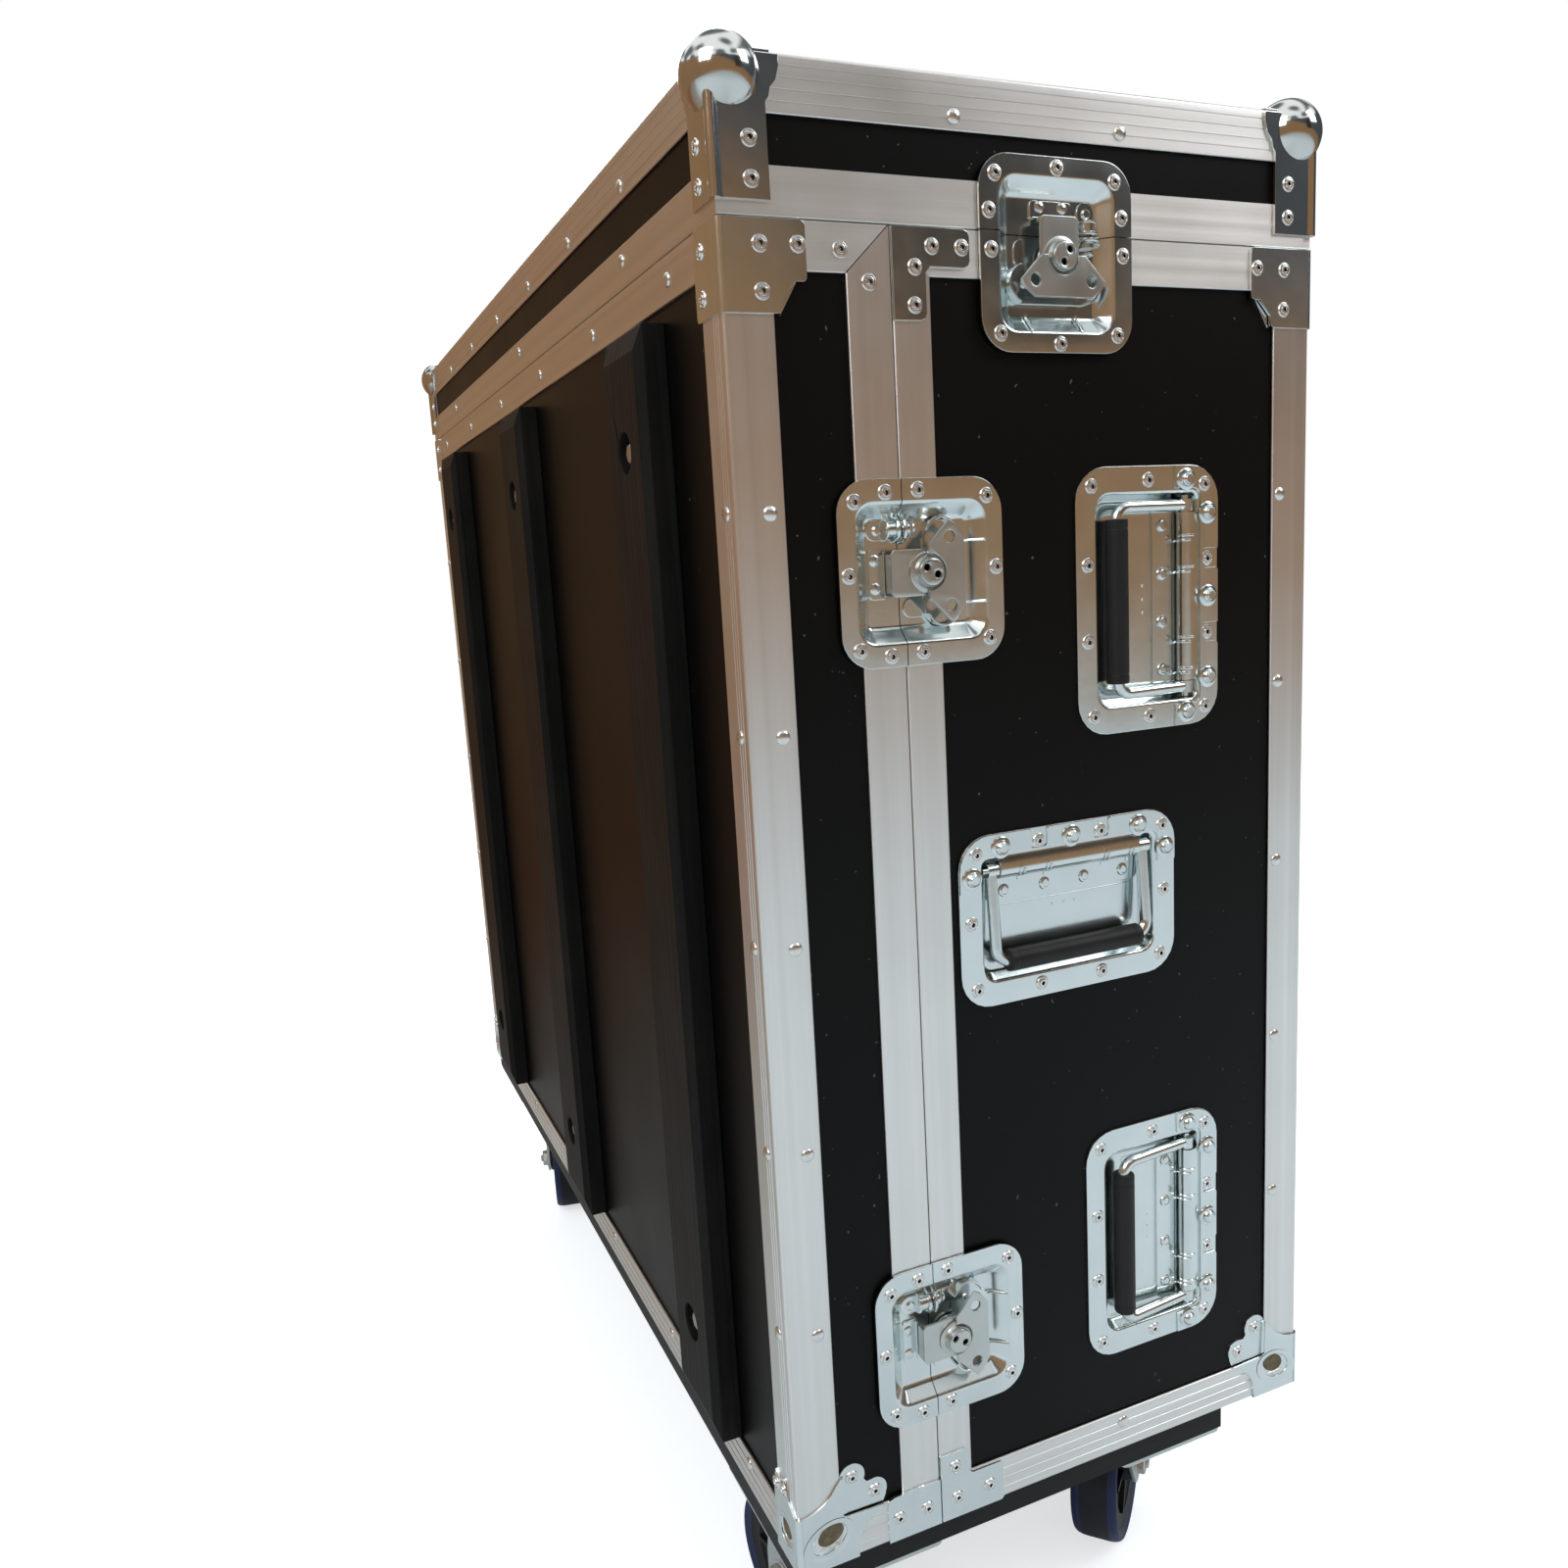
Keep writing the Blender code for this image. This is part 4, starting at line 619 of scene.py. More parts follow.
zinc = zinc_plate("bright_zinc_plate", ("#ced8d9", "#e5ecec"), (0.12, 0.24), 0.10)
chrome = zinc_plate("polished_corner_plate", ("#c2c6c4", "#dadddb"), (0.09, 0.15), 0.06)
# Painted shade in the holes of the dished corners: a dark brown disc, blotched every few millimetres, that
# stands in for a deeper recess.
dish_hole_shade = mottled(
    "painted_shade_in_dish_hole", ("#191510", "#857659"), (0.7, 0.7), (300.0, 3.0), (300.0, 3.0), (0.0, 0.0001),
)
BEND = 2.2


def fold(bm, corner, u, v, low, high, bead=0.0):
    """The round fold of a plate over an upright corner, with a bead standing out of it."""
    sides = arc((BEND, BEND), BEND + SHEET, 180, 270, 8) + arc((BEND, BEND), BEND - 0.3, 270, 180, 8)
    if bead:
        sides = [(-SHEET, 4.0), (-SHEET, bead)] + arc((0.2, 0.2), bead, 165, 285, 8)
        sides += [(bead, -SHEET), (4.0, -SHEET), (4.0, 0.3), (0.3, 0.3), (0.3, 4.0)]
    rings = [[bm.verts.new(corner + u * x + v * y + Z * z) for x, y in sides] for z in (low, high)]
    for ring in rings:
        bm.faces.new(ring)
    skin(bm, *rings)


def on_face(corner, u, v):
    """A frame on a case face at a corner: local X away from the corner, local Y up, Z outwards. On
    half of the faces that's left-handed, which only turns the pieces over."""
    turn = Matrix((u, Z, -v)).transposed().to_4x4()
    turn.translation = corner
    return turn


SHELL_TOP = BODY - 2 * PLAY


def top_bracket(bm, corner, u, v):
    """Bent plate over the top of a corner angle, with an arm along the rim and a sloped notch."""
    low, high = BODY - 49, SHELL_TOP
    foot = [(BEND, low), (31, low), (33.1, low + 0.9), (34, low + 3)]
    front = foot + [(34, high - 41), (43, high - 31.7), (47, high - 31.7)]
    front += arc((47, high - 28.7), 3, 300, 360, 3) + arc((47, high - 3), 3, 0, 90, 4) + [(BEND, high)]
    slab(bm, front, -0.3, SHEET, on_face(corner, u, v))
    side = foot + [(34, high - 3), (33.1, high - 0.9), (31, high), (BEND, high)]
    slab(bm, side, -0.3, SHEET, on_face(corner, v, u))
    fold(bm, corner, u, v, low, high)
    gusset = [(33, high - 48), (34.5, high - 48), (44.5, high - 31.5), (44.5, high - 29), (33, high - 29)]
    slab(bm, gusset, -PANEL_SET - 0.2, -PANEL_SET + 1.0, on_face(corner, u, v))


def dished_corner(bm, corner, u, v):
    """Pressed corner: a bulged shoe with a dish and a hole on each face, oval on the end and round on
    the side, and an ear with two lobes stepped down onto the panel, slit along its lower side."""
    end_face, side_face = on_face(corner, u, v), on_face(corner, v, u)
    front = [(BEND, 0), (41, 0), (41.5, 8), (43, 15), (47, 21), (54, 27), (60, 30.7), (33, 31.6), (31, 33)]
    front += [(31, 40), (30.5, 52), (30.2, 59), (26.5, 55.5), (23, 50.5), (18, 46), (12, 42.7), (6, 41)]
    front += [(BEND, 40.6)]
    side = [(BEND, 0), (34, 0), (34, 40), (33, 50), (30, 57), (27, 55), (24.5, 51), (21, 56), (17.5, 58)]
    side += [(14, 55), (11, 46), (BEND, 40.6)]
    dish = arc((17.5, 20.5), 9.5, 0, 340, 17)
    oval = [(20.5 + 1.3 * (x - 17.5), y + 0.25 * (x - 17.5)) for x, y in dish]
    slab(bm, front, -0.3, SHEET, end_face, edge=0.5, holes=[oval])
    slab(bm, side, -0.3, SHEET, side_face, edge=0.5, holes=[dish])
    ear = [(29.5, 32.4), (60.5, 31.7), (62.5, 36)] + arc((54.7, 41.5), 8.8, -25, 105, 8) + [(49.2, 49.8)]
    ear += arc((38.9, 56.4), 9.3, -25, 160, 10) + [(29.5, 57)]
    slab(bm, ear, -PANEL_SET - 0.1, -PANEL_SET + SHEET, end_face, edge=0.5)
    step = [(29.5, 33.5), (34, 33.5), (32.5, 59), (30.2, 59)]
    slab(bm, step, -PANEL_SET, SHEET - 0.5, end_face, edge=1.0)
    fold(bm, corner, u, v, 0, 40.6)
    bowl = [(14.0, 0.3, 0), (12.2, 0.5, 0), (10.8, 0.2, 0.3), (9.8, -0.6, 0.7)]
    bowl += [(8.6, -1.4, 1.6), (7.4, -2.1, 2.4), (6.8, -3.1, 2.8)]
    for face, wide, tilt, brim in ((end_face, 1.3, 0.25, []), (side_face, 1.0, 0.0, [(15.6, -0.2, 0)])):
        lean = Matrix(((wide, 0, 0, 7 - 7 * wide), (tilt, 1, 0, -17 * tilt), (0, 0, 1, 0), (0, 0, 0, 1)))
        rings = []
        for radius, z, shift in brim + bowl:
            rings.append((arc((17 + shift * 0.5, 19 + shift), radius, 0, 350, 35), SHEET + z))
        loft(bm, rings, face @ lean)
        # A dark disc in each hole, in the second paint: painted shade of a deeper recess.
        slab(bm, arc((18.5, 22), 7.0, 0, 350, 35), 0.02 - ALU, 0.05, face @ lean, 1, edge=0.02)


def tray_split_plate(bm, seam, v):
    """Flat plate over the foot of the tray's rim, and the places of its rivets."""
    plate = [(0, 0.2), (39, 0.2), (39, 27), (38, 30.5), (34, 32), (0, 32)]
    slab(bm, plate, -0.3, SHEET, on_face(seam, -X, v))
    return [seam + Vector((-x, 0, z)) for x, z in ((31.2, 16.3), (10.2, 15.7))]


def main_split_plates(bm, seam, v):
    """L bracket over the head of the main shell's rim and a stepped one over its foot."""
    high = SHELL_TOP
    ell = [(0, high - 50), (17, high - 50), (20, high - 48.5), (21, high - 46), (21, high - 24)]
    ell += [(24, high - 21), (46, high - 21), (49, high - 19.5), (50, high - 17), (50, high - 4)]
    ell += [(49, high - 1.2), (46, high), (0, high)]
    foot = [(0, 0.2), (46, 0.2), (48, 2), (48, 26), (46, 29), (24, 29), (21, 32), (21, 45), (19, 48), (0, 48)]
    for outline in (ell, foot):
        slab(bm, outline, -0.3, SHEET, on_face(seam, X, v))
    spots = ((127.6, 799.3), (147.0, 799.4), (116.4, 787.9), (115.6, 767.5))
    on_ell = [Vector((x, seam.y, z)) for x, z in spots]
    return on_ell + [seam + Vector((x, 0, z)) for x, z in ((12, 15), (37, 15), (11, 38))]


TOP_ON_END, TOP_ON_SIDE = ((23.1, 796.2), (45.2, 796.7), (23.2, 772.1)), ((23, 796.2), (23, 772.1))
DISHED_ON_EAR, DISHED_ON_SIDE = ((38.9, 56.4), (54.7, 41.5)), ((17.5, 51), (29, 48))
for shell, x, u, edge, split_plates in (
    ("tray", 0, X, TRAY_EDGE, tray_split_plate),
    ("main", WIDTH, -X, MAIN_EDGE, main_split_plates),
):
    bm, heads = bmesh.new(), []
    for _, y, v in ends():
        corner = Vector((x, y, 0))
        top_bracket(bm, corner, u, v)
        dished_corner(bm, corner, u, v)
        on_panel = corner + v * (PANEL_SET - SHEET)
        heads += [(corner - v * SHEET + u * a + Z * z, -v) for a, z in TOP_ON_END]
        heads += [(on_panel + u * a + Z * z, -v) for a, z in DISHED_ON_EAR]
        heads += [(corner - u * SHEET + v * a + Z * z, -u) for a, z in TOP_ON_SIDE + DISHED_ON_SIDE]
        heads += [(place - v * SHEET, -v) for place in split_plates(bm, Vector((edge, y, 0)), v)]
    piece(f"{shell}_brackets", bm, [zinc, dish_hole_shade], shell)
    piece(f"{shell}_bracket_rivets", drawn((rivets, heads)), [rivet, bore], shell)

# Ball corners of the lid: a drawn and polished steel ball over each top corner, with bent legs down
# the upright edge and short tabs along the two top edges, riveted through the angle into the ply.
BALL, BALL_IN, BURIED = 21.5, 10.5, 1.0
LEG_LOW, LEG_HIGH = BODY + 8, TOP - 12
bm, shells, heads = bmesh.new(), bmesh.new(), []
for x, u in ((0, X), (WIDTH, -X)):
    for _, y, v in ends():
        corner = Vector((x, y, 0))
        ball = bmesh.new()
        bmesh.ops.create_uvsphere(ball, u_segments=56, v_segments=36, radius=BALL)
        bmesh.ops.translate(ball, verts=ball.verts, vec=corner + (u + v) * BALL_IN + Z * (TOP - BALL_IN))
        inside = []
        for face in ball.faces:
            depth = [min((p.co - corner).dot(u), (p.co - corner).dot(v), TOP - p.co.z) for p in face.verts]
            if min(depth) > BURIED:
                inside.append(face)
        bmesh.ops.delete(ball, geom=inside, context="FACES")
        mesh = bpy.data.meshes.new("cap")
        ball.to_mesh(mesh)
        ball.free()
        shells.from_mesh(mesh)
        bpy.data.meshes.remove(mesh)
        for along, other, reach in ((u, v, 31), (v, u, 30)):
            leg = [(3.8, LEG_LOW), (reach, LEG_LOW), (reach, TOP - 25), (reach + 2, TOP - 22.5)]
            leg += [(reach + 3, TOP - 18), (reach + 6.5, TOP - 14), (reach + 8.5, TOP - 7)]
            leg += [(reach + 8.5, TOP - 1.6), (3.8, TOP - 1.6)]
            slab(bm, leg, -0.3, SHEET, on_face(corner, along, other))
            foot = corner + along * (reach - 10.5) - other * SHEET
            heads += [(foot + Z * z, -other) for z in (BODY + 18, BODY + 38)]
            tab = Matrix((along, other, Z)).transposed().to_4x4()
            tab.translation = corner + Z * TOP
            slab(bm, [(2, 2), (36, 2), (39, 8), (39, 18), (34, 24), (20, 26), (2, 26)], -0.3, SHEET, tab)
            heads.append((corner + along * 33 + other * 12 + Z * (TOP + SHEET), Z))
        fold(bm, corner, u, v, LEG_LOW, LEG_HIGH, bead=3.4)
piece("lid_corner_legs", bm, [chrome], "lid")
piece("lid_ball_corners", shells, [chrome], "lid", solid=1.2)
piece("lid_corner_rivets", drawn((rivets, heads)), [rivet, bore], "lid")


# Butterfly latches: two pressed zinc dishes meeting at the split, a strike riveted in the keeper half,
# and in the other half a base plate with a sprung hub that draws the hook when its wing is turned.
def frame_at(origin, along, outward):
    """A right-handed frame on a face: local X along, local Z outwards."""
    turn = Matrix((along, outward.cross(along), outward)).transposed().to_4x4()
    turn.translation = origin
    return turn


def pressed(bm, front_rings, back_rings, turn, closed=True):
    """A pressed dish from the rings of its front and back, whose innermost rings are its floor."""
    fore = loft(bm, front_rings, turn, closed=closed, end=True)
    rear = loft(bm, back_rings, turn, closed=closed, end=True)
    skin(bm, rear[0], fore[0], closed=closed)
    if not closed:
        face = [ring[0] for ring in fore] + [ring[-1] for ring in reversed(fore)]
        under = [ring[-1] for ring in rear] + [ring[0] for ring in reversed(rear)]
        bm.faces.new(face + under)


def latch_half(bm, turn, reach, pan, side):
    """Half a latch dish; side is 1 for the hub's half and -1 for the keeper."""
    half, pan_half = 53.5, 38.75

    def u_shape(reach, half, radius):
        """A U open towards the split: from one end round the two far corners to the other end."""
        corners = arc((reach - radius, radius - half), radius, 270, 360, 8)
        corners += arc((reach - radius, half - radius), radius, 0, 90, 8)
        return [(PLAY, -half), *corners, (PLAY, half)]

    def ring(out, height):
        return u_shape(pan + out, pan_half + out, max(10.5 + out, 1.0)), height

    def rim(out, height):
        return u_shape(reach + out, half + out, 20 + out), height

    fore = [rim(0, 1.3), rim(-0.15, 1.65), rim(-0.5, SHEET + PLAY), ring(2.6, 1.8), ring(1.4, 1.6)]
    fore += [ring(0.5, 1.0), ring(-0.4, 0.1), ring(-5.6, -4.6), ring(-6.8, -5.7), ring(-8.2, -6.35)]
    fore += [ring(-9.2, -6.5)]
    rear = [rim(0, PLAY), ring(1.4, PLAY), ring(-6.2, -8.0)]
    pressed(bm, fore, rear, turn @ Matrix.Diagonal((side, 1, 1, 1)), closed=False)


def latch_wing(bm, turn):
    """Butterfly wing round the hub's cap, with a finger hole near each end."""
    upper = [(22.8, 19.8), (17.5, 27.0), (13.1, 29.4), (-0.9, 15.3), (-0.9, 10.4), (2.5, 10.2)]
    notch = arc((0, 0), 10.2, 66, -66, 12)
    holes = [arc((13.3, t), 3.6, 0, 330, 11) for t in (-19.6, 19.6)]
    slab(bm, upper + notch + [(x, -y) for x, y in reversed(upper)], 5.7, 7.7, turn, edge=0.7, holes=holes)


def latch_hub(bm, turn):
    """Sprung hub: a tapered collar, a cap with two spanner holes and the stem to the base plate."""
    collar = ((0, 4.3), (11.9, 4.3), (12.0, 4.8), (11.3, 5.3), (9.6, 5.5), (9.0, 6.6), (8.7, 7.9), (0, 7.9))
    lathe(bm, collar, turn, 40)
    centres = ((-3.6, 2.7), (3.5, -1.5))
    holes = [arc(centre, 1.9, 0, 330, 11) for centre in centres]
    slab(bm, arc((0, 0), 8.1, 0, 352, 44), 7.6, 10.5, turn, edge=1.3, holes=holes)
    # Black discs in the spanner holes, in the second paint: painted shade.
    for centre in centres:
        lathe(bm, ((0, 8.6), (2.0, 8.6), (2.0, 7.8), (0, 7.8)), turn, 12, 1, (*centre, 0))
    lathe(bm, ((0, -4.6), (6.4, -4.6), (6.4, 4.5), (0, 4.5)), turn, 24)


def latch_hook(bm, turn):
    """Hook plate swelling up to the hub, folded down at its nose, slotted for the stem."""
    slot = arc((0, 0), 6.8, 90, 270, 8) + arc((7, 0), 6.8, -90, 90, 8)
    body = [(-21.4, -13.5), (19, -13.5), (19, 13.5), (-21.4, 13.5), (-23.4, 11.0), (-23.4, -11.0)]
    slab(bm, body, 2.4, 4.0, turn, edge=0.8, holes=[slot])
    slab(bm, [(-23.4, -11), (-21.0, -11), (-21.0, 11), (-23.4, 11)], -3.4, 3.0, turn)


def latch_base(bm, turn):
    """Base plate on the dish floor, its ends folded up, with a bearing ring and two flat rivets."""
    slab(bm, rounded((2.5, -30.0), (24.5, 30.0), 8.0, 6), -6.6, -5.0, turn, edge=0.4)
    folded = arc((13.5, 21), 11.2, 15, 165, 14) + arc((13.5, 21), 9.6, 165, 15, 14)
    head = ((0, -3.6), (2.0, -3.7), (2.7, -4.6), (2.7, -5.2), (0, -5.2))
    for sign in (-1, 1):
        slab(bm, [(x, sign * y) for x, y in folded[::sign]], -5.4, -0.6, turn, edge=0.6)
        lathe(bm, head, turn, 18, at=(13.3, sign * 19.6, 0))
    slab(bm, rounded((-11.5, -26.0), (4.0, -14.5), 5.0, 5), -6.6, -5.4, turn, edge=0.4)
    lathe(bm, ((8.6, -5.2), (8.6, -3.9), (9.6, -3.6), (10.4, -4.2), (10.4, -5.2)), turn, 28)


def latch_strike(bm, turn):
    """Strike plate with a stepped lip towards the hook and two flat rivets, on the keeper's floor."""
    slab(bm, rounded((-19.5, -14.5), (-9.5, 14.5), (2.5, 1.0, 1.0, 2.5), 4), -6.6, -5.0, turn, edge=0.5)
    slab(bm, rounded((-10.4, -13.0), (-8.6, 13.0), 0.6, 2), -6.6, -4.3, turn, edge=0.5)
    for t in (-8, 8):
        lathe(bm, ((0, -4.0), (2.4, -4.1), (3.4, -4.7), (3.4, -5.2), (0, -5.2)), turn, 18, at=(-16.0, t, 0))


def hoop(bm, foot, radius, wire, turn):
    """A wire hoop standing on the dish floor, seen along the latch's length."""
    round_hoop = arc((foot[1], foot[2]), radius, -8, 188, 16)
    bar(bm, [(foot[0], y, z) for y, z in round_hoop], wire, 10, turn)


def latch_guide(bm, turn):
    """Locating tab of the keeper, a riveted plate that holds half of a round dowel at the split."""
    tab = arc((-14.5, 25), 6.0, 90, 270, 8) + [(-2.5, 19.5), (-2.5, 30.5)]
    slab(bm, tab, -6.6, -5.3, turn, edge=0.4)
    lathe(bm, ((0, -3.9), (2.1, -4.0), (3.2, -4.9), (3.2, -5.4), (0, -5.4)), turn, 18, at=(-13.5, 25, 0))
    bar(bm, [(-9.0, 25, -5.0), (-0.8, 25, -5.0)], 5.2, 28, turn)
    hoop(bm, (-1.9, 25, -5.6), 6.6, 1.1, turn)
    hoop(bm, (-8.4, 25, -5.6), 5.8, 0.7, turn)


def latch_socket(bm, turn):
    """Socket of the hub's half for the dowel: two hoops over a short tube, and an eye beside it."""
    bar(bm, [(0.8, 25, -5.0), (6.0, 25, -5.0)], 4.6, 28, turn)
    hoop(bm, (2.0, 25, -5.6), 7.2, 1.1, turn)
    hoop(bm, (9.3, 25.5, -5.6), 3.4, 0.9, turn)
    slab(bm, rounded((5.5, 19.5), (19.0, 30.0), 2.0, 3), -6.6, -5.2, turn, edge=0.4)
    for t in (17, -19):
        bar(bm, [(44.0, t, -4.9), (46.2, t, -4.9), (53.0, t, 0.9), (55.0, t, 1.9)], 0.8, 8, turn)


satin_zinc = zinc_plate("satin_zinc_plate", ("#b9bfbf", "#d3d6d3"), (0.26, 0.38), 0.15)
FLANGE_TOP, HUB = 1.8, 13.9
KEEPER_SPOTS = ((-30.6, 41), (-10.6, 45.8), (-35.8, 0), (-30.6, -42.6), (-10.6, -47))
HUB_SPOTS = ((10.6, 46.8), (56.4, 42.3), (61.9, 0.8), (10.6, -45.9), (56.4, -40.8))
for end, y, inward in ends():
    for name in ("upper", "lower", "top"):
        latch = f"{end}_{name}"
        middle = middle_of(f"latch_dish_{latch}")
        if name == "top":
            turn = frame_at(Vector((middle.x, y, BODY)), -Z, -inward)
        else:
            turn = frame_at(Vector((SPLIT, y, middle.z)), X, -inward)
        keeper_body = "lid" if name == "top" else "tray"
        hub = turn @ Matrix.Translation((HUB, 0, 0))
        dish = drawn((latch_half, turn, 67, 54, 1), (latch_base, hub), (latch_socket, turn))
        piece(f"latch_dish_plate_{latch}", dish, [zinc], "main", [f"latch_dish_{latch}"])
        keeper = drawn((latch_half, turn, 42, 29.2, -1), (latch_strike, turn), (latch_guide, turn))
        nodes = [f"latch_keeper_{latch}"]
        piece(f"latch_keeper_plate_{latch}", keeper, [zinc], keeper_body, nodes)
        for part, spots, body in (("keeper", KEEPER_SPOTS, keeper_body), ("dish", HUB_SPOTS, "main")):
            heads = [(turn @ Vector((s, t, FLANGE_TOP)), -inward) for s, t in spots]
            piece(f"latch_{part}_rivets_{latch}", drawn((rivets, heads)), [rivet, bore], body)
        hook = drawn((latch_hook, hub))
        nodes = [f"latch_hook_{latch}"]
        piece(f"latch_hook_plate_{latch}", hook, [satin_zinc], f"hook_{latch}", nodes)
        wing = drawn((latch_wing, hub), (latch_hub, hub))
        nodes = [f"latch_wing_{latch}"]
        piece(f"latch_wing_and_hub_{latch}", wing, [satin_zinc, bore], f"wing_{latch}", nodes)

# Sprung handles: a pressed dish riveted and bolted over a hole in the panel, a hinge with return
# springs under a rolled cover, and a bent steel bail with a moulded rubber grip. The rubber is dull
# black, vulcanised, with a fine leathery grain of about 1 mm and dusty patches.
rubber = mottled(
    "black_rubber", ("#0d0d0e", "#1c1c1d"), (0.5, 0.5), (60.0, 3.0), (1100.0, 3.0), (0.12, 0.0002),
    specular=0.35,
)
HANDLE_TOP, STRAP = SHEET + PLAY - PANEL_SET, 1.2
PAN_FLOOR = -PANEL_SET - 7
HINGE_S, HINGE_H = 31.5, -PANEL_SET - 1.3
ARM = 58.3


def handle_dish(bm, turn):
    """Dish with a flat flange, a fillet into the pan and a low raised field on its floor."""
    def ring(out, height, corner, tight):
        low, high = (-39 - out, -65.5 - out), (39 + out, 65.5 + out)
        return rounded(low, high, (corner, tight, tight, corner), 6), height

    def rim(out, height):
        return rounded((-55.5 - out, -83 - out), (55.5 + out, 83 + out), 22 + out, 6), height

    top, floor = HANDLE_TOP, PAN_FLOOR
    fore = [rim(0, top - 0.5), rim(-0.15, top - 0.15), rim(-0.5, top), ring(2.2, top, 11, 6)]
    fore += [ring(1.0, top - 0.3, 10.5, 5.5), ring(0.3, top - 1.0, 10, 5), ring(0, top - 1.9, 9.5, 4.5)]
    fore += [ring(-2.2, floor + 1.6, 8, 3.5), ring(-2.8, floor + 0.6, 7.5, 3.2)]
    fore += [ring(-3.8, floor + 0.1, 7, 3), ring(-4.8, floor, 6, 2.5)]
    rear = [rim(0, top - SHEET), ring(2.0, top - SHEET, 10, 5), ring(-1.2, floor - 1.5, 8, 3.5)]
    pressed(bm, fore, rear, turn)
    slab(bm, rounded((-20, -56.5), (6.5, 56.5), 2.0, 3), floor - 0.2, floor + 0.35, turn, edge=0.35)
    pip = ((0, 0.55), (0.7, 0.5), (1.1, 0.1), (1.1, -0.2), (0, -0.2))
    for t in (-8.5, 0, 8.5):
        lathe(bm, pip, turn, 12, at=(2.0, t, floor + 0.3))


def handle_hinge(bm, turn):
    """Hinge: leaf with four rivets, rolled cover over the barrel, spring wires and pin ends."""
    leaf = rounded((8.8, -58), (24.5, 58), (4, 0.5, 0.5, 4), 4)
    slab(bm, leaf, PAN_FLOOR - 0.2, PAN_FLOOR + SHEET, turn, edge=0.4)
    head = ((0, 1.6), (2.2, 1.5), (2.7, 1.0), (3.7, 0.8), (4.2, 0.1), (4.1, -0.2), (0, -0.2))
    for t in (-46, -15.3, 15.3, 46):
        lathe(bm, head, turn, at=(16.2, t, PAN_FLOOR + SHEET))
    pin = (HINGE_S, HINGE_H)
    cover = arc(pin, 5.4, 200, 75, 12) + [(36.5, HINGE_H + 4.6), (38.6, HINGE_H + 3.6)]
    cover += [(40.4, HANDLE_TOP + 0.1), (40.4, HANDLE_TOP - 0.9), (37.5, HINGE_H + 2.2)]
    cover += arc(pin, 4.5, 60, 200, 12)
    rings = [[bm.verts.new(turn @ Vector((s, t, h))) for s, h in cover] for t in (-53.5, 53.5)]
    for ring in rings:
        bm.faces.new(ring)
    skin(bm, *rings)
    for reach, radius, sides in ((64.3, 2.0, 16), (52.6, 4.4, 24)):
        bar(bm, [(HINGE_S, -reach, HINGE_H), (HINGE_S, reach, HINGE_H)], radius, sides, turn)
    for t in (37.7, 17.8, -27, -47):
        for shift, first, last in ((1.3, 175, 62), (-1.7, 200, 95)):
            bar(bm, [(s, t + shift, h) for s, h in arc(pin, 5.6, first, last, 10)], 0.85, 10, turn)
        tail = [(HINGE_S - 5.4, t - 1.7, HINGE_H - 2.0), (25.0, t - 2.5, PAN_FLOOR + 2.2)]
        tail += [(21.5, t - 2.7, PAN_FLOOR + 2.0)]
        bar(bm, tail, 0.8, 8, turn)


def handle_strap(bm, turn):
    """Second plate over the hinge side of the flange, cut back round two rivets and the pan."""
    outline = [(20, -82.6)] + arc((33.3, -60.8), 21.8, 270, 360, 6)
    outline += [(55.1, -31), (53.5, -29.5), (44, -29.5), (42.8, -28), (42.8, -18.5), (44, -17.4)]
    outline += [(55.1, -17.4), (55.1, 16.6), (53.5, 18), (44, 18), (42.8, 19.5), (42.8, 29)]
    outline += [(44, 30.2), (55.1, 30.2)] + arc((33.3, 60.8), 21.8, 0, 90, 6)
    pan_side = [(20, 82.6), (20, 68.5), (36, 68.5), (39.0, 67.6), (40.8, 64.5)]
    outline += pan_side + [(s, -t) for s, t in reversed(pan_side[1:])]
    slab(bm, outline, HANDLE_TOP - 0.1, HANDLE_TOP + STRAP, turn, edge=0.4)


def handle_bolts(bm, turn):
    """Washers and domed bolt heads that clamp the hinge side."""
    dome = ((0, 3.9), (2.6, 3.9), (3.1, 3.4), (3.6, 3.5), (4.4, 2.9), (4.9, 1.4))
    washer = ((6.2, 1.2), (7.0, 0.6), (7.1, -0.1), (0, -0.1))
    for s, t in ((29, 74), (29, -74), (46.3, 52.7), (46.3, -52.7), (46.6, 0)):
        lathe(bm, dome + washer, turn, 28, at=(s, t, HANDLE_TOP + STRAP))


def handle_bail(bm, turn):
    """Bent bar and eyes in the steel, drawn about the hinge axis."""
    bend, arm = 9.0, 58.0
    half = [(-1.5, arm), (ARM - 30, arm), *reversed(arc((ARM - bend, arm - bend), bend, 0, 90, 8))]
    path = [(x, -y, 0) for x, y in half] + [(x, y, 0) for x, y in reversed(half)]
    bar(bm, path, 3.8, 20, turn)
    for t in (-arm, arm):
        bar(bm, [(0, t - 3.8, 0), (0, t + 3.8, 0)], 4.8, 24, turn)


def handle_grip(bm, turn):
    """Moulded grip round the bar, with rounded ends, two shallow rings and a parting line."""
    spin = turn @ Matrix.Translation((ARM, 0, 0)) @ Matrix.Rotation(math.radians(-90), 4, "X")
    half, radius = 51.0, 7.2
    profile = [(0, -half), (radius - 1.2, -half), (radius - 0.3, -half + 0.4), (radius, -half + 1.2)]
    for ring in (-half + 6, half - 6):
        profile += [(radius, ring - 0.8), (radius - 0.35, ring - 0.3)]
        profile += [(radius - 0.35, ring + 0.3), (radius, ring + 0.8)]
    profile += [(radius, half - 1.2), (radius - 0.3, half - 0.4), (radius - 1.2, half), (0, half)]
    lathe(bm, profile, spin, 36)
    for side in (-1, 1):
        bar(bm, [(ARM + side * radius, -half + 1, 0), (ARM + side * radius, half - 1, 0)], 0.22, 6, turn)


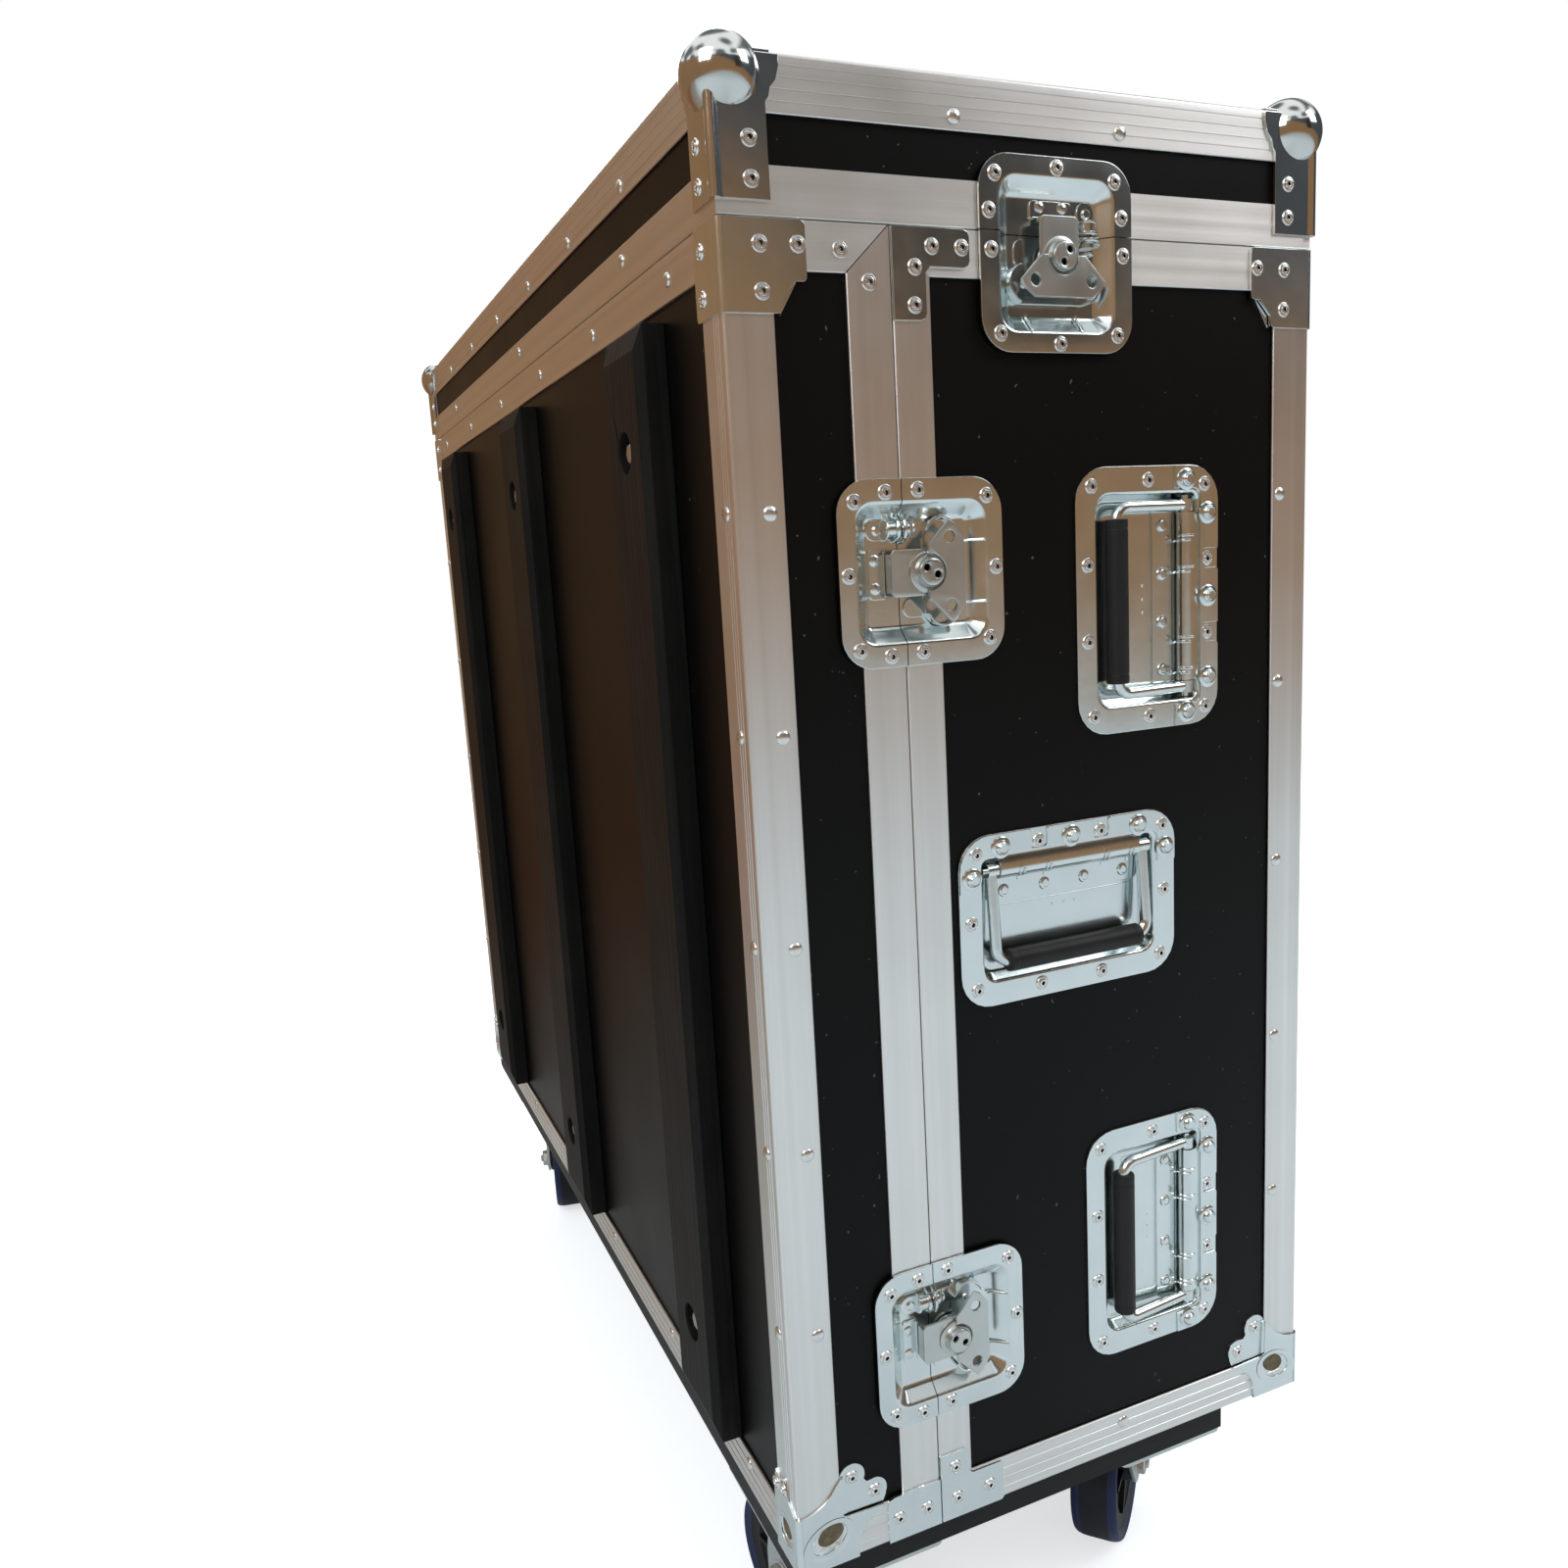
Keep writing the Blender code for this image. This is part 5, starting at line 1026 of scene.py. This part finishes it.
DISH_SPOTS = (
    (-43.3, 71.4), (0.2, 74.3), (43.9, 70.7), (46.6, 23.9), (46.6, -23.4),
    (43.9, -71.8), (-0.1, -74.3), (-43.7, -71), (-46.8, 23.7), (-47.3, -23.5),
)
for end, y, inward in ends():
    for name in ("upper", "middle", "lower"):
        handle = f"{end}_{name}"
        middle = middle_of(f"handle_dish_{handle}")
        turn = frame_at(Vector((middle.x, y, middle.z)), Z if name == "middle" else X, -inward)
        dish = drawn((handle_dish, turn), (handle_hinge, turn), (handle_strap, turn), (handle_bolts, turn))
        piece(f"handle_dish_plate_{handle}", dish, [zinc], "main", [f"handle_dish_{handle}"])
        heads = []
        for s, t in DISH_SPOTS:
            raised = STRAP if s > 40 and abs(t) > 60 else 0
            heads.append((turn @ Vector((s, t, HANDLE_TOP + raised)), -inward))
        piece(f"handle_rivets_{handle}", drawn((rivets, heads)), [rivet, bore], "main")
        swing = turn @ Matrix.Translation((HINGE_S, 0, HINGE_H)) @ Matrix.Rotation(math.radians(180), 4, "Z")
        swing = swing @ Matrix.Rotation(math.radians(-5), 4, "Y")
        body, node = f"bail_{handle}", f"handle_bail_{handle}"
        piece(f"handle_bail_rod_{handle}", drawn((handle_bail, swing)), [zinc], body, [node])
        piece(f"handle_grip_{handle}", drawn((handle_grip, swing)), [rubber], body, [node])


# Skids: three planed softwood runners stained black, chamfered along their edges and sloped at the
# ends, held to the tray's side by coach screws sunk in counterbores.
def stained_timber():
    """Black-stained softwood: grain lines along the length, darker pores, dusty wear on the high
    spots and a dull open surface."""
    material, tree, place = new_material("black_stained_timber")
    along = add(tree, "Mapping", {"Vector": place, "Scale": (220.0, 220.0, 7.0)})
    grain = add(tree, "TexNoise", {"Vector": along, "Scale": 1.0, "Detail": 4.0, "Distortion": 0.4})
    wear = add(tree, "TexNoise", {"Vector": place, "Scale": 14.0, "Detail": 5.0})
    tone = add(tree, "Mix", {"Factor": grain, "A": "#030303", "B": "#191817"}, data_type="RGBA")
    dusty = add(tree, "MapRange", {"Value": wear, "From Min": 0.45, "From Max": 0.75, "To Max": 0.35})
    tone = add(tree, "Mix", {"Factor": dusty, "A": tone, "B": "#24221f"}, data_type="RGBA")
    bump = add(tree, "Bump", {"Strength": 0.6, "Distance": 0.0008, "Height": grain})
    shader = add(tree, "BsdfPrincipled", {
        "Base Color": tone, "Roughness": 0.55, "Normal": bump, "Specular IOR Level": 0.15,
    })
    return surface(material, tree, shader)


timber = stained_timber()
CHAMFER, SLOPED, SINK, SINK_DEPTH, SINK_FROM_END = 5.0, 15, 13.0, 9.0, 72.0
for name in ("skid_front", "skid_middle", "skid_back"):
    low, high = box_of(name)
    middle, half, foot, depth = (low.y + high.y) / 2, (high.y - low.y) / 2, -high.x, -low.x
    turn = Matrix(((0, 0, -1, 0), (1, 0, 0, middle), (0, 1, 0, 0), (0, 0, 0, 1)))
    shoulder, inner = depth - CHAMFER, half - CHAMFER
    bm = bmesh.new()
    sections = []
    for z, rise in ((low.z, 0), (low.z + SLOPED, CHAMFER), (high.z - SLOPED, CHAMFER), (high.z, 0)):
        flank = ((-half, foot), (-half, shoulder), (rise - half, shoulder + rise))
        across = flank + tuple((-y, x) for y, x in reversed(flank))
        sections.append([bm.verts.new(turn @ Vector((y, z, x))) for y, x in across])
    for first, second in zip(sections, sections[1:]):
        for i in range(6):
            if i != 3 or first is not sections[1]:
                bm.faces.new((first[i - 1], first[i], second[i], second[i - 1]))
    bm.faces.new(sections[0])
    bm.faces.new(sections[-1])
    foot_z, head_z = low.z + SLOPED, high.z - SLOPED
    face = [(-inner, foot_z), (inner, foot_z), (inner, head_z), (-inner, head_z)]
    verts, loops = [bm.verts.new(turn @ Vector((y, z, depth))) for y, z in face], [face]
    spots = (low.z + SINK_FROM_END, high.z - SINK_FROM_END)
    for z in spots:
        sides = ((SINK + 0.5, depth), (SINK, depth - 0.6), (SINK, depth - SINK_DEPTH))
        rings = [(arc((0, z), radius, 0, 352.5, 47), at) for radius, at in sides]
        verts += loft(bm, rings, turn, end=True)[0]
        loops.append(rings[0][0])
    filled(bm, loops, verts)
    piece(f"{name}_timber", bm, [timber], "tray", [name], bevel=0.7, sharp=12)
    bm = bmesh.new()
    for z in spots:
        seat = (0, z, depth - SINK_DEPTH - 0.1)
        lathe(bm, ((0, 1.4), (11.0, 1.4), (11.6, 1.0), (11.7, 0), (0, 0)), turn, 32, at=seat)
        lathe(bm, ((0, 6.4), (5.4, 6.4), (6.8, 5.5), (6.9, 1.3), (0, 1.3)), turn, 6, at=seat)
    piece(f"{name}_screws", bm, [satin_zinc], "tray")

# Castor board: 18 mm ply laminated like the shells, bolted under the main shell; it carries four
# plates with their bearing races and king bolts. Its sawn edges are brushed black, and the plies
# show through the paint as faint lines 1.5 mm apart.
ply_edge = mottled(
    "painted_ply_edge", ("#060606", "#16181a"), (0.5, 0.5), (1.0, 3.0), (1.0, 3.0), (0.5, 0.0005),
    specular=0.25, stretch=(6.0, 6.0, 640.0),
)
BOARD, SOFT_EDGE = 18.0, 0.5
low, high = box_of("castor_board")
board_top, board_under = -PLAY, -PLAY - BOARD
bm = bmesh.new()
outline = rounded((low.x, low.y), (high.x, high.y), 2.0, 3)
loft(bm, [(outline, board_under + SOFT_EDGE), (outline, board_top - SOFT_EDGE)], paint=1)
for z, edge in ((board_under, board_under + SOFT_EDGE), (board_top, board_top - SOFT_EDGE)):
    loft(bm, [(outline, edge), (inset(outline, SOFT_EDGE), z)], end=True)
piece("castor_board_ply", bm, [laminate, ply_edge], "main", ["castor_board"])

TRAIL, PLATE_SHEET, RACE_DROP = 38.0, 3.0, 12.0
PLATE_IN_X, PLATE_IN_Y = 42.5, 52.5
HEADINGS = {"front_left": 102, "front_right": 42, "back_left": 258, "back_right": 228}
castors = {}
bm = bmesh.new()
for name, degrees in HEADINGS.items():
    heading = Matrix.Rotation(math.radians(degrees), 4, "Z")
    swivel = middle_of(f"castor_wheel_{name}") - heading @ Vector((TRAIL, 0, 0))
    swivel.z = board_under
    castors[name] = Matrix.Translation(swivel) @ heading
    left, front = name.endswith("left"), name.startswith("front")
    xs = (low.x + 0.5, swivel.x + PLATE_IN_X) if left else (swivel.x - PLATE_IN_X, high.x - 0.3)
    ys = (low.y + 0.3, swivel.y + PLATE_IN_Y) if front else (swivel.y - PLATE_IN_Y, high.y - 0.3)
    hung = Matrix.Translation((0, 0, board_under)) @ Matrix.Diagonal((1, 1, -1, 1))
    slab(bm, rounded((xs[0], ys[0]), (xs[1], ys[1]), 6, 4), 0, PLATE_SHEET, hung, edge=0.5)
    down = Matrix.Translation(swivel) @ Matrix.Rotation(math.pi, 4, "X")
    race = ((0, 2.9), (33, 2.9), (32, 4.2), (30, 5.0), (29.5, 8.5), (28.2, 9.6), (28.2, 11.8), (0, 11.8))
    lathe(bm, race, down, 48)
    lathe(bm, ((0, 22.2), (8.2, 22.2), (9.8, 21.4), (10.0, 16.8), (0, 16.8)), down, 6)
    lathe(bm, ((0, 17.0), (12.5, 17.0), (12.8, 16.7), (0, 16.7)), down, 32)
    bolt = ((0, 5.2), (5.4, 5.2), (6.4, 4.4), (6.5, 1.2), (8.4, 1.1), (8.4, -0.1), (0, -0.1))
    for x in (-34, 34):
        for y in (-42, 42):
            lathe(bm, bolt, down, 6, at=(x, y, PLATE_SHEET))
piece("castor_plates", bm, [satin_zinc], "main", ["castor_board"])
AXLE_DROP = board_under - middle_of("castor_wheel_front_left").z


# Swivel castors with 125 mm elastic tyres: pressed zinc forks with a shroud in front, a cast core in
# a deep blue tyre with painted shade, near black, on its tread, hex axle bolts, and a foot brake on
# the front pair.
def tyre_rubber(name, dark, bright, roughness):
    """Cast elastic tyre: smooth, faintly mottled, with fine scuffs of about 2 mm."""
    gloss = (roughness, roughness)
    return mottled(name, (dark, bright), gloss, (55.0, 5.0), (600.0, 3.0), (0.15, 0.0004), specular=0.3)


# The tread is painted near black: painted shade on the blue rubber.
tread = tyre_rubber("tyre_tread_painted_shade", "#0b0d12", "#171a22", 0.5)
blue_tyre = tyre_rubber("blue_elastic_tyre", "#131b3c", "#1f2b58", 0.40)
core = tyre_rubber("black_cast_wheel_core", "#08090a", "#131416", 0.45)
WHEEL, HALF_TREAD, LEG_IN, LEG_OUT = 62.5, 18.0, 22.5, 25.5
ROLLED_IN, ROLLED_DEEP = 3.6, 9.5
PEDAL_PIN = (36, -22.5)


def castor_fork(bm, turn, braked):
    """Crown, two legs with the axle's bolts, front shroud, axle and the brake's pin."""
    crown = turn @ Matrix.Translation((0, 0, -RACE_DROP - 0.3)) @ Matrix.Rotation(math.pi, 4, "X")
    hole = arc((0, 0), 6.3, 0, 345, 23)
    slab(bm, rounded((-26, -LEG_OUT), (46, LEG_OUT), 3.0, 4), 0, 4.0, crown, edge=0.6, holes=[hole])
    leg = [(-26, -14), (-26, -44), (-23, -48), (-14, -54), (0, -66), (12, -82), (20, -95)]
    leg += arc((TRAIL, -AXLE_DROP), 16.5, 195, 345, 12) + [(54, -80), (49, -50), (46, -24), (46, -14)]
    bolt_at = (TRAIL, -AXLE_DROP, LEG_OUT)
    for sign in (-1, 1):
        flank = turn @ Matrix(((1, 0, 0, 0), (0, 0, sign, 0), (0, 1, 0, 0), (0, 0, 0, 1)))
        slab(bm, leg, LEG_IN, LEG_OUT, flank, edge=0.6)
        lathe(bm, ((0, 0.9), (11.0, 0.9), (12.5, 0.0), (12.5, -0.4), (0, -0.4)), flank, 32, at=bolt_at)
        lathe(bm, ((0, 6.2), (7.8, 6.2), (9.3, 5.2), (9.5, 0.6), (0, 0.6)), flank, 6, at=bolt_at)
        lathe(bm, ((0, 8.4), (3.4, 8.4), (4.0, 7.8), (4.0, 6.0), (0, 6.0)), flank, 20, at=bolt_at)
    edge = LEG_OUT - 0.4
    shroud = [(-edge, -14), (-edge, -47)] + arc((0, -66), 30, 138, 42, 10) + [(edge, -47), (edge, -14)]
    front = turn @ Matrix(((0, 0, -1, -23), (1, 0, 0, 0), (0, 1, 0, 0), (0, 0, 0, 1)))
    slab(bm, shroud, 0, 3.0, front, edge=0.6)
    bar(bm, [(TRAIL, -LEG_OUT, -AXLE_DROP), (TRAIL, LEG_OUT, -AXLE_DROP)], 6.0, 24, turn)
    if braked:
        x, z = PEDAL_PIN
        bar(bm, [(x, -LEG_OUT - 1.5, z), (x, LEG_OUT + 1.5, z)], 3.0, 16, turn)


def castor_wheel(bm, turn):
    """Tyre, cast core with a thin web and six ribs, and the hub round the axle."""
    spin = turn @ Matrix.Translation((TRAIL, 0, -AXLE_DROP)) @ Matrix.Rotation(math.radians(90), 4, "X")
    core_edge = (WHEEL - 9.5, HALF_TREAD - 2.2)
    shoulder = [core_edge]
    for out, up in arc((0, 0), 1.0, 90, 15, 5):
        shoulder.append((WHEEL - ROLLED_IN * (1 - out), HALF_TREAD - ROLLED_DEEP * (1 - up)))
    web = [(6.4, 22), (15, 22), (16.2, 21), (17.5, 14), (20, 12.6), (37, 12.6), (40.5, 14), (41.5, 15.4)]
    for profile, paint in ((shoulder, 1), (web + [core_edge], 2)):
        lathe(bm, profile, spin, 72, paint)
        lathe(bm, [(radius, -height) for radius, height in profile], spin, 72, paint)
    radius, height = shoulder[-1]
    # Running surface in the first paint, the tread's painted shade.
    lathe(bm, ((radius, -height), (WHEEL, 3 - height), (WHEEL, height - 3), (radius, height)), spin, 72)
    lathe(bm, [(6.4, -22), (6.4, 22)], spin, 72, 2)
    for step in range(6):
        rib = spin @ Matrix.Rotation(step * math.pi / 3, 4, "Z")
        for sign in (-1, 1):
            outline = [(16, -1.6), (41, -1.6), (41, 1.6), (16, 1.6)]
            slab(bm, outline, 12.0, 16.5, rib @ Matrix.Diagonal((1, 1, sign, 1)), 2, edge=0.5)


def brake_lever(bm, turn):
    """Pressed pedal rolled round its pin, with a stepped tread and a turned-up lip."""
    x, z = PEDAL_PIN
    pin = turn @ Matrix.Translation((x, 0, z))
    path = [(3.0, 3.6), (10, 1.2), (24, -1.6), (26, -3.6), (40, -6.8), (42, -9.0), (58, -11.6), (63.5, -8.4)]
    outline = [(x, z + 1.3) for x, z in path] + [(x - 0.3, z - 1.3) for x, z in reversed(path)]
    flank = pin @ Matrix(((1, 0, 0, 0), (0, 0, 1, 0), (0, 1, 0, 0), (0, 0, 0, 1)))
    slab(bm, outline, -17, 17, flank, edge=0.6)
    roll = pin @ Matrix.Rotation(math.radians(90), 4, "X")
    lathe(bm, ((3.3, -16.8), (5.5, -16.8), (5.5, 16.8), (3.3, 16.8), (3.3, -16.8)), roll, 28)


for name, turn in castors.items():
    braked = name.startswith("front")
    fork = drawn((castor_fork, turn, braked))
    body, nodes = f"castor_{name}", [f"castor_fork_{name}"]
    piece(f"castor_fork_steel_{name}", fork, [satin_zinc], body, nodes)
    wheel = drawn((castor_wheel, turn))
    paints, nodes = [tread, blue_tyre, core], [f"castor_wheel_{name}"]
    piece(f"castor_wheel_tyre_{name}", wheel, paints, f"wheel_{name}", nodes)
    if braked:
        lever = drawn((brake_lever, turn))
        body, nodes = f"pedal_{name}", [f"brake_pedal_{name}"]
        piece(f"brake_lever_{name}", lever, [satin_zinc], body, nodes)


# Lid foam: a soft charcoal polyether pad glued under the lid's top, knife-cut, its edges pulled in a
# little by the glue.
def charcoal_foam():
    """Open-cell polyether foam: dead matt, pitted with cells of about 1 mm."""
    material, tree, place = new_material("charcoal_foam")
    cells = add(tree, "TexVoronoi", {"Vector": place, "Scale": 900.0})
    broad = add(tree, "TexNoise", {"Vector": place, "Scale": 20.0, "Detail": 4.0})
    tone = add(tree, "Mix", {"Factor": broad, "A": "#1c1c1e", "B": "#303134"}, data_type="RGBA")
    bump = add(tree, "Bump", {"Strength": 0.7, "Distance": 0.0006, "Height": cells})
    shader = add(tree, "BsdfPrincipled", {
        "Base Color": tone, "Roughness": 0.95, "Normal": bump, "Specular IOR Level": 0.1,
    })
    return surface(material, tree, shader)


low, high = box_of("lid_foam")
outline = rounded((low.x, low.y), (high.x, high.y), 8, 6)
thick = high.z - low.z
profile = [(0.8, 0), (0.0, 2.5), (0.0, thick - 6), (0.9, thick - 2.4), (3.0, thick - 0.7)]
profile += [(7.0, thick - 0.1), (14.0, thick)]
bm = bmesh.new()
hung = Matrix.Translation((0, 0, high.z)) @ Matrix.Diagonal((1, 1, -1, 1))
loft(bm, [(inset(outline, by), z) for by, z in profile], hung, start=True, end=True)
pad = piece("lid_foam_pad", bm, [charcoal_foam()], "lid", ["lid_foam"])
